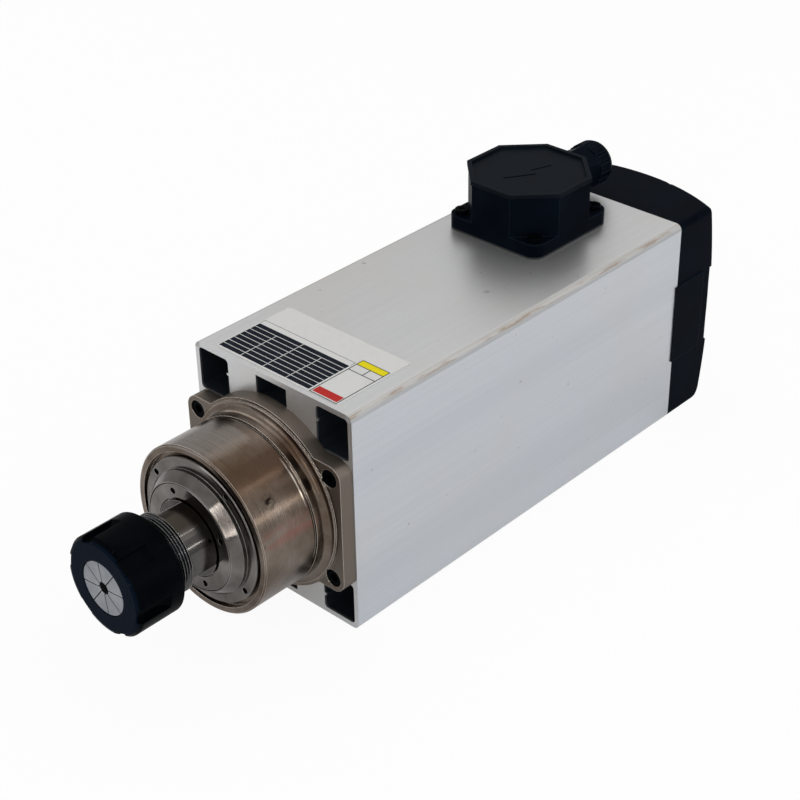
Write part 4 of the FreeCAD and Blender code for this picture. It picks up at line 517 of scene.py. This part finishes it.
# Rubber and the sleeves of the leads: dull, and a little uneven
rubberLook = {
    "leadSleeve": ((0.21, 0.035, 0.028), (0.30, 0.05, 0.04)),
    "blackRubber": ((0.014, 0.014, 0.0154), (0.02, 0.02, 0.022)),
    "roughness": 0.72, "grainScale": 1500, "grainBump": (0.00003, 0.5),
}


def softRubber(name):
    look = rubberLook
    f = Finish(name, Roughness=look["roughness"])
    grain = f.noise(f.coordinates, look["grainScale"], 3)
    f.feed(f.shader.inputs["Base Color"], f.blend(grain, *look[name]))
    f.bump(grain, *look["grainBump"])
    return f.material


# The label's film and its inks: a tone and an IOR each, with fine wear and light scratches
filmLook = {
    "labelFilm": ((0.585, 0.585, 0.58), 1.25),
    "darkInk": ((0.006, 0.009, 0.016), 1.1),
    "yellowInk": ((0.70, 0.60, 0.012), 1.1),
    "redInk": ((0.42, 0.028, 0.025), 1.1),
    "roughness": 0.36, "wearScale": 260, "wearLevels": (0.6, 0.5, 0.75),
    "scratchScale": (200, 3000, 200), "scratchTurn": (0, 0, 0.5), "scratchBump": (0.000006, 0.3),
}


def printedFilm(name):
    look = filmLook
    tone, ior = look[name]
    f = Finish(name, Roughness=look["roughness"], IOR=ior)
    wear = f.noise(f.coordinates, look["wearScale"], 5, 0.65)
    worn = tuple(0.88 * part + 0.018 for part in tone)  # dark tones paler, pale tones darker
    tone = f.overlay(tone, wear, (worn, *look["wearLevels"]))
    f.feed(f.shader.inputs["Base Color"], tone)
    scratches = f.noise(f.stretched(*look["scratchScale"], look["scratchTurn"]), 1.0, 2)
    f.bump(scratches, *look["scratchBump"])
    return f.material


finishes = {
    "pale_aluminium": satinProfile(),
    "nickel_iron": nickelCasting(),
    "ground_steel": groundSteel("groundSteel", steelLook["tones"], isShaft=True),
    "bearing_steel": bearingSteel(),
    "black_steel": blackenedSteel(),
    "lamination_steel": stackedSheets(),
    "enamelled_copper": enamelledCopper(),
    "cage_brass": machinedBrass(),
    "black_plastic": mouldedPlastic("blackPlastic"),
    "pale_plastic": mouldedPlastic("palePlastic"),
    "lead_sleeve": softRubber("leadSleeve"),
    "black_rubber": softRubber("blackRubber"),
    "label_film": printedFilm("labelFilm"),
}
# pieces whose finish isn't their slot's
ringSteel = groundSteel("ringSteel", steelLook["ringTones"])
nodeFinish = {"collet": colletSteel(), "bearing_lock_ring": ringSteel, "labyrinth_ring": ringSteel,
              "junction_box_lid": mouldedPlastic("lidPlastic")}
slotOf = {row["node"]: row["material_slot"] for row in frame["record"]["subparts"]}
for nodeName, nodeObject in nodes.items():
    nodeObject.data.materials.clear()
    nodeObject.data.materials.append(nodeFinish.get(nodeName) or finishes[slotOf[nodeName]])
print("finishes made:", len(bpy.data.materials))


# A mesh from whole arrays of points and faces, riding on a body
def meshPiece(name, points, faces, body, materials, materialIndex):
    mesh = bpy.data.meshes.new(name)
    mesh.from_pydata(points.reshape(-1, 3).tolist(), [], faces.tolist())
    for material in materials:
        mesh.materials.append(material)
    mesh.polygons.foreach_set("material_index", materialIndex)
    mesh.validate()
    mesh.update()
    piece = bpy.data.objects.new(name, mesh)
    bpy.context.scene.collection.objects.link(piece)
    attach(piece, body)


# Upright blocks from rows of (x0, x1, y0, y1): every row gives the eight corners
# (x0 or x1, y0 or y1, bottom or top), and six quads that face outwards
def flatBlocks(rows, bottom, top):
    x = rows[:, [0, 1, 1, 0, 0, 1, 1, 0]]
    y = rows[:, [2, 2, 3, 3, 2, 2, 3, 3]]
    z = np.broadcast_to(np.array([bottom] * 4 + [top] * 4), x.shape)
    quads = np.array([[3, 2, 1, 0], [4, 5, 6, 7],
                      [0, 1, 5, 4], [1, 2, 6, 5], [2, 3, 7, 6], [3, 0, 4, 7]])
    faces = (np.arange(len(rows))[:, None, None] * 8 + quads).reshape(-1, 4)
    return np.stack([x, y, z], -1), faces


# The print on the top label, in metres from the label's front left corner.
# An area is its left, right, front and rear edge
labelLook = {
    "table": (0.0006, 0.0609, 0.0009, 0.0278),  # the dark rows
    "rows": 8, "columns": 4, "gap": 0.00046,
    "header": (0.0006, 0.0609, 0.0281, 0.0314),  # the bare strip over the rows
    "frame": (0.0618, 0.0790, 0.0002, 0.0355),  # the outlined box beside the table
    "divider": 0.0252, "split": 0.0706, "line": 0.00046,  # lines inside the box
    "yellowStrip": (0.0620, 0.0788, 0.0312, 0.0353),
    "redStrip": (0.0627, 0.0781, 0.0014, 0.0062),
    "height": 0.00003,  # above the film, and as deep into it
}


def labelPrint():
    look = labelLook
    low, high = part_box("data_label")
    left, right, front, rear = look["table"]
    inset = look["gap"] / 2
    # cell edges: equal steps between the table's sides, less a gap round every cell
    across = np.linspace(left, right, look["columns"] + 1)
    along = np.linspace(front, rear, look["rows"] + 1)
    x0, y0 = np.meshgrid(across[:-1] + inset, along[:-1] + inset)
    x1, y1 = np.meshgrid(across[1:] - inset, along[1:] - inset)
    cells = np.stack([x0, x1, y0, y1], -1).reshape(-1, 4)
    # in the rear row the cells are joined two by two
    last = look["columns"] * (look["rows"] - 1)
    cells[last::2, 1] = cells[last + 1::2, 1]
    cells = np.delete(cells, np.arange(last + 1, len(cells), 2), axis=0)
    line = look["line"]
    left, right, front, rear = look["header"]
    header = [(left, right, rear - line / 2, rear), (left, left + line / 2, front, rear),
              (right - line / 2, right, front, rear)]
    left, right, front, rear = look["frame"]
    divider, split, strip = look["divider"], look["split"], look["yellowStrip"][2]
    lines = [(left, right, front, front + line), (left, right, rear - line, rear),
             (left, left + line, front, rear), (right - line, right, front, rear),
             (left, right, divider, divider + line), (split, split + line, divider, strip),
             (left, right, strip - line, strip)]
    rows = np.vstack([cells, header, lines, [look["yellowStrip"]], [look["redStrip"]]])
    rows += (low[0], low[0], low[1], low[1])
    points, faces = flatBlocks(rows, high[2] - look["height"], high[2] + look["height"])
    inks = [printedFilm(name) for name in ("darkInk", "yellowInk", "redInk")]
    index = np.zeros(len(rows), int)
    index[-2:] = 1, 2  # the yellow and the red strip come last
    meshPiece("label_print", points, faces, "housing", inks, np.repeat(index, 6))


labelPrint()
print("label printed")


# Angles in degrees, the focal length in pixels of the picture, the sensor in millimetres
camera = {"place": (0.51484, -0.58265, 0.53897), "azimuth": 43.43, "elevation": 32.21,
          "roll": -1.07, "focal": 1766.9, "picture": 800, "sensor": 36, "clip": (0.01, 20)}


# forward = (-sin a cos e, cos a cos e, -sin e), with the roll about it
def makeCamera():
    turn, rise, roll = (math.radians(camera[key]) for key in ("azimuth", "elevation", "roll"))
    forward = Vector((-math.sin(turn) * math.cos(rise), math.cos(turn) * math.cos(rise),
                      -math.sin(rise)))
    right = Vector((math.cos(turn), math.sin(turn), 0))
    up = right.cross(forward)
    right, up = (right * math.cos(roll) + up * math.sin(roll),
                 up * math.cos(roll) - right * math.sin(roll))
    data = bpy.data.cameras.new("photoCamera")
    data.sensor_width = camera["sensor"]
    data.lens = camera["sensor"] * camera["focal"] / camera["picture"]
    data.clip_start, data.clip_end = camera["clip"]
    shot = bpy.data.objects.new("photoCamera", data)
    facing = Matrix((right, up, -forward)).transposed()
    shot.matrix_world = Matrix.Translation(camera["place"]) @ facing.to_4x4()
    bpy.context.scene.collection.objects.link(shot)
    bpy.context.scene.camera = shot


# Every lamp faces its aim, or else the spindle's middle, and may lean by some degrees
lamps = {
    "overhead": {"place": (0.10, 0.35, 1.35), "size": (2.0, 2.0), "power": 8.2,
                 "tint": (1.0, 0.99, 0.97)},
    "rightKey": {"place": (1.35, -0.15, 0.75), "size": (1.6, 1.4), "power": 4.0,
                 "tint": (0.88, 0.95, 1.0)},
    "frontFill": {"place": (-0.35, -1.35, 0.65), "size": (1.0, 0.8), "power": 3.0,
                  "tint": (1.0, 1.0, 1.0)},
    "leftStrip": {"place": (-1.0, 0.1, 0.7), "size": (0.35, 1.2), "power": 1.8,
                  "tint": (1.0, 0.98, 0.95)},
    # long and narrow along Y: the two bright streaks on the turned pieces
    "streakLow": {"place": (1.25, 0.75, 0.455), "aim": (0, 0.75, 0.06), "size": (1.5, 0.045),
                  "power": 2.3, "tint": (1.0, 0.98, 0.96)},
    "streakHigh": {"place": (0.70, 0.75, 1.16), "aim": (0, 0.75, 0.06), "size": (1.5, 0.035),
                   "power": 1.3, "tint": (1.0, 0.98, 0.96)},
    # narrow and leaning, on the front right: the thin lines on chamfers and grooves
    "frontStrip": {"place": (0.70, -1.10, 0.58), "turn": 33, "size": (0.045, 1.1),
                   "power": 3.0, "tint": (1.0, 0.96, 0.92)},
}


def makeLamps():
    for name, lamp in lamps.items():
        data = bpy.data.lights.new(name, "AREA")
        data.shape = "RECTANGLE"
        data.size, data.size_y = lamp["size"]
        data.energy = lamp["power"]
        data.color = lamp["tint"]
        light = bpy.data.objects.new(name, data)
        place, aim = Vector(lamp["place"]), Vector(lamp.get("aim", (0, 0, axisHeight)))
        facing = (aim - place).to_track_quat("-Z", "Y").to_matrix().to_4x4()
        lean = Matrix.Rotation(math.radians(lamp.get("turn", 0)), 4, "Z")
        light.matrix_world = Matrix.Translation(place) @ facing @ lean
        bpy.context.scene.collection.objects.link(light)


# The camera sees a white background, and glossy rays see a share of that white over the sky.
# The sky's stops run from straight down, 0, to straight up, 1, each with its level
studio = {
    "glossWhite": 0.28,
    "sky": ((0.0, 0.16), (0.47, 0.24), (0.54, 0.38), (0.68, 0.50), (1.0, 0.46)),
    "skyTint": (1.0, 0.99, 0.98),
    "floorTone": 0.80, "floorWhite": 0.94, "floorGloss": 0.25, "floorRoughness": 0.9,
    "floorSize": 6.0, "floorLevel": -0.0002,
}


# The white's share for a ray: one part of it for camera rays, another for glossy rays
def whiteShare(tree, cameraShare, glossShare):
    path = tree.nodes.new("ShaderNodeLightPath")
    gloss = tree.nodes.new("ShaderNodeMath")
    gloss.operation = "MAXIMUM"
    tree.links.new(path.outputs["Is Glossy Ray"], gloss.inputs[0])
    tree.links.new(path.outputs["Is Transmission Ray"], gloss.inputs[1])
    part = tree.nodes.new("ShaderNodeMath")
    part.operation = "MULTIPLY"
    part.inputs[1].default_value = glossShare
    tree.links.new(gloss.outputs[0], part.inputs[0])
    total = tree.nodes.new("ShaderNodeMath")
    total.operation = "MULTIPLY_ADD"
    total.use_clamp = True
    total.inputs[1].default_value = cameraShare
    tree.links.new(path.outputs["Is Camera Ray"], total.inputs[0])
    tree.links.new(part.outputs[0], total.inputs[2])
    return total.outputs[0]


def makeWorld():
    world = bpy.data.worlds.new("studio")
    bpy.context.scene.world = world
    world.use_nodes = True
    tree = world.node_tree
    back = tree.nodes["Background"]
    direction = tree.nodes.new("ShaderNodeTexCoord").outputs["Generated"]
    split = tree.nodes.new("ShaderNodeSeparateXYZ")
    tree.links.new(direction, split.inputs[0])
    ramp = tree.nodes.new("ShaderNodeValToRGB")
    for _ in studio["sky"][2:]:  # a new ramp has two stops
        ramp.color_ramp.elements.new(0.5)
    for point, (place, level) in zip(ramp.color_ramp.elements, studio["sky"]):
        point.position = place
        point.color = (*(level * part for part in studio["skyTint"]), 1)
    shift = tree.nodes.new("ShaderNodeMapRange")
    shift.inputs["From Min"].default_value = -1
    tree.links.new(split.outputs[2], shift.inputs["Value"])
    tree.links.new(shift.outputs[0], ramp.inputs[0])
    choose = tree.nodes.new("ShaderNodeMix")
    choose.data_type = "RGBA"
    tree.links.new(whiteShare(tree, 1.0, studio["glossWhite"]), choose.inputs[0])
    tree.links.new(ramp.outputs[0], choose.inputs[6])
    choose.inputs[7].default_value = (1, 1, 1, 1)
    tree.links.new(choose.outputs[2], back.inputs[0])
    back.inputs[1].default_value = 1.0


# A pale floor that all but turns to the background's white for the camera
def makeFloor():
    size, level = studio["floorSize"], studio["floorLevel"]
    mesh = bpy.data.meshes.new("floor")
    corners = [(-size, -size, level), (size, -size, level), (size, size, level),
               (-size, size, level)]
    mesh.from_pydata(corners, [], [(0, 1, 2, 3)])
    floor = bpy.data.objects.new("floor", mesh)
    bpy.context.scene.collection.objects.link(floor)
    material = bpy.data.materials.new("paleFloor")
    material.use_nodes = True
    tree = material.node_tree
    shader = tree.nodes["Principled BSDF"]
    shader.inputs["Base Color"].default_value = (*[studio["floorTone"]] * 3, 1)
    shader.inputs["Roughness"].default_value = studio["floorRoughness"]
    glow = tree.nodes.new("ShaderNodeEmission")
    mix = tree.nodes.new("ShaderNodeMixShader")
    white = whiteShare(tree, studio["floorWhite"], studio["floorGloss"])
    tree.links.new(white, mix.inputs[0])
    tree.links.new(shader.outputs[0], mix.inputs[1])
    tree.links.new(glow.outputs[0], mix.inputs[2])
    tree.links.new(mix.outputs[0], tree.nodes["Material Output"].inputs["Surface"])
    floor.data.materials.append(material)


makeCamera()
makeLamps()
makeWorld()
makeFloor()
bpy.context.scene.view_settings.view_transform = "Standard"
print("studio set")
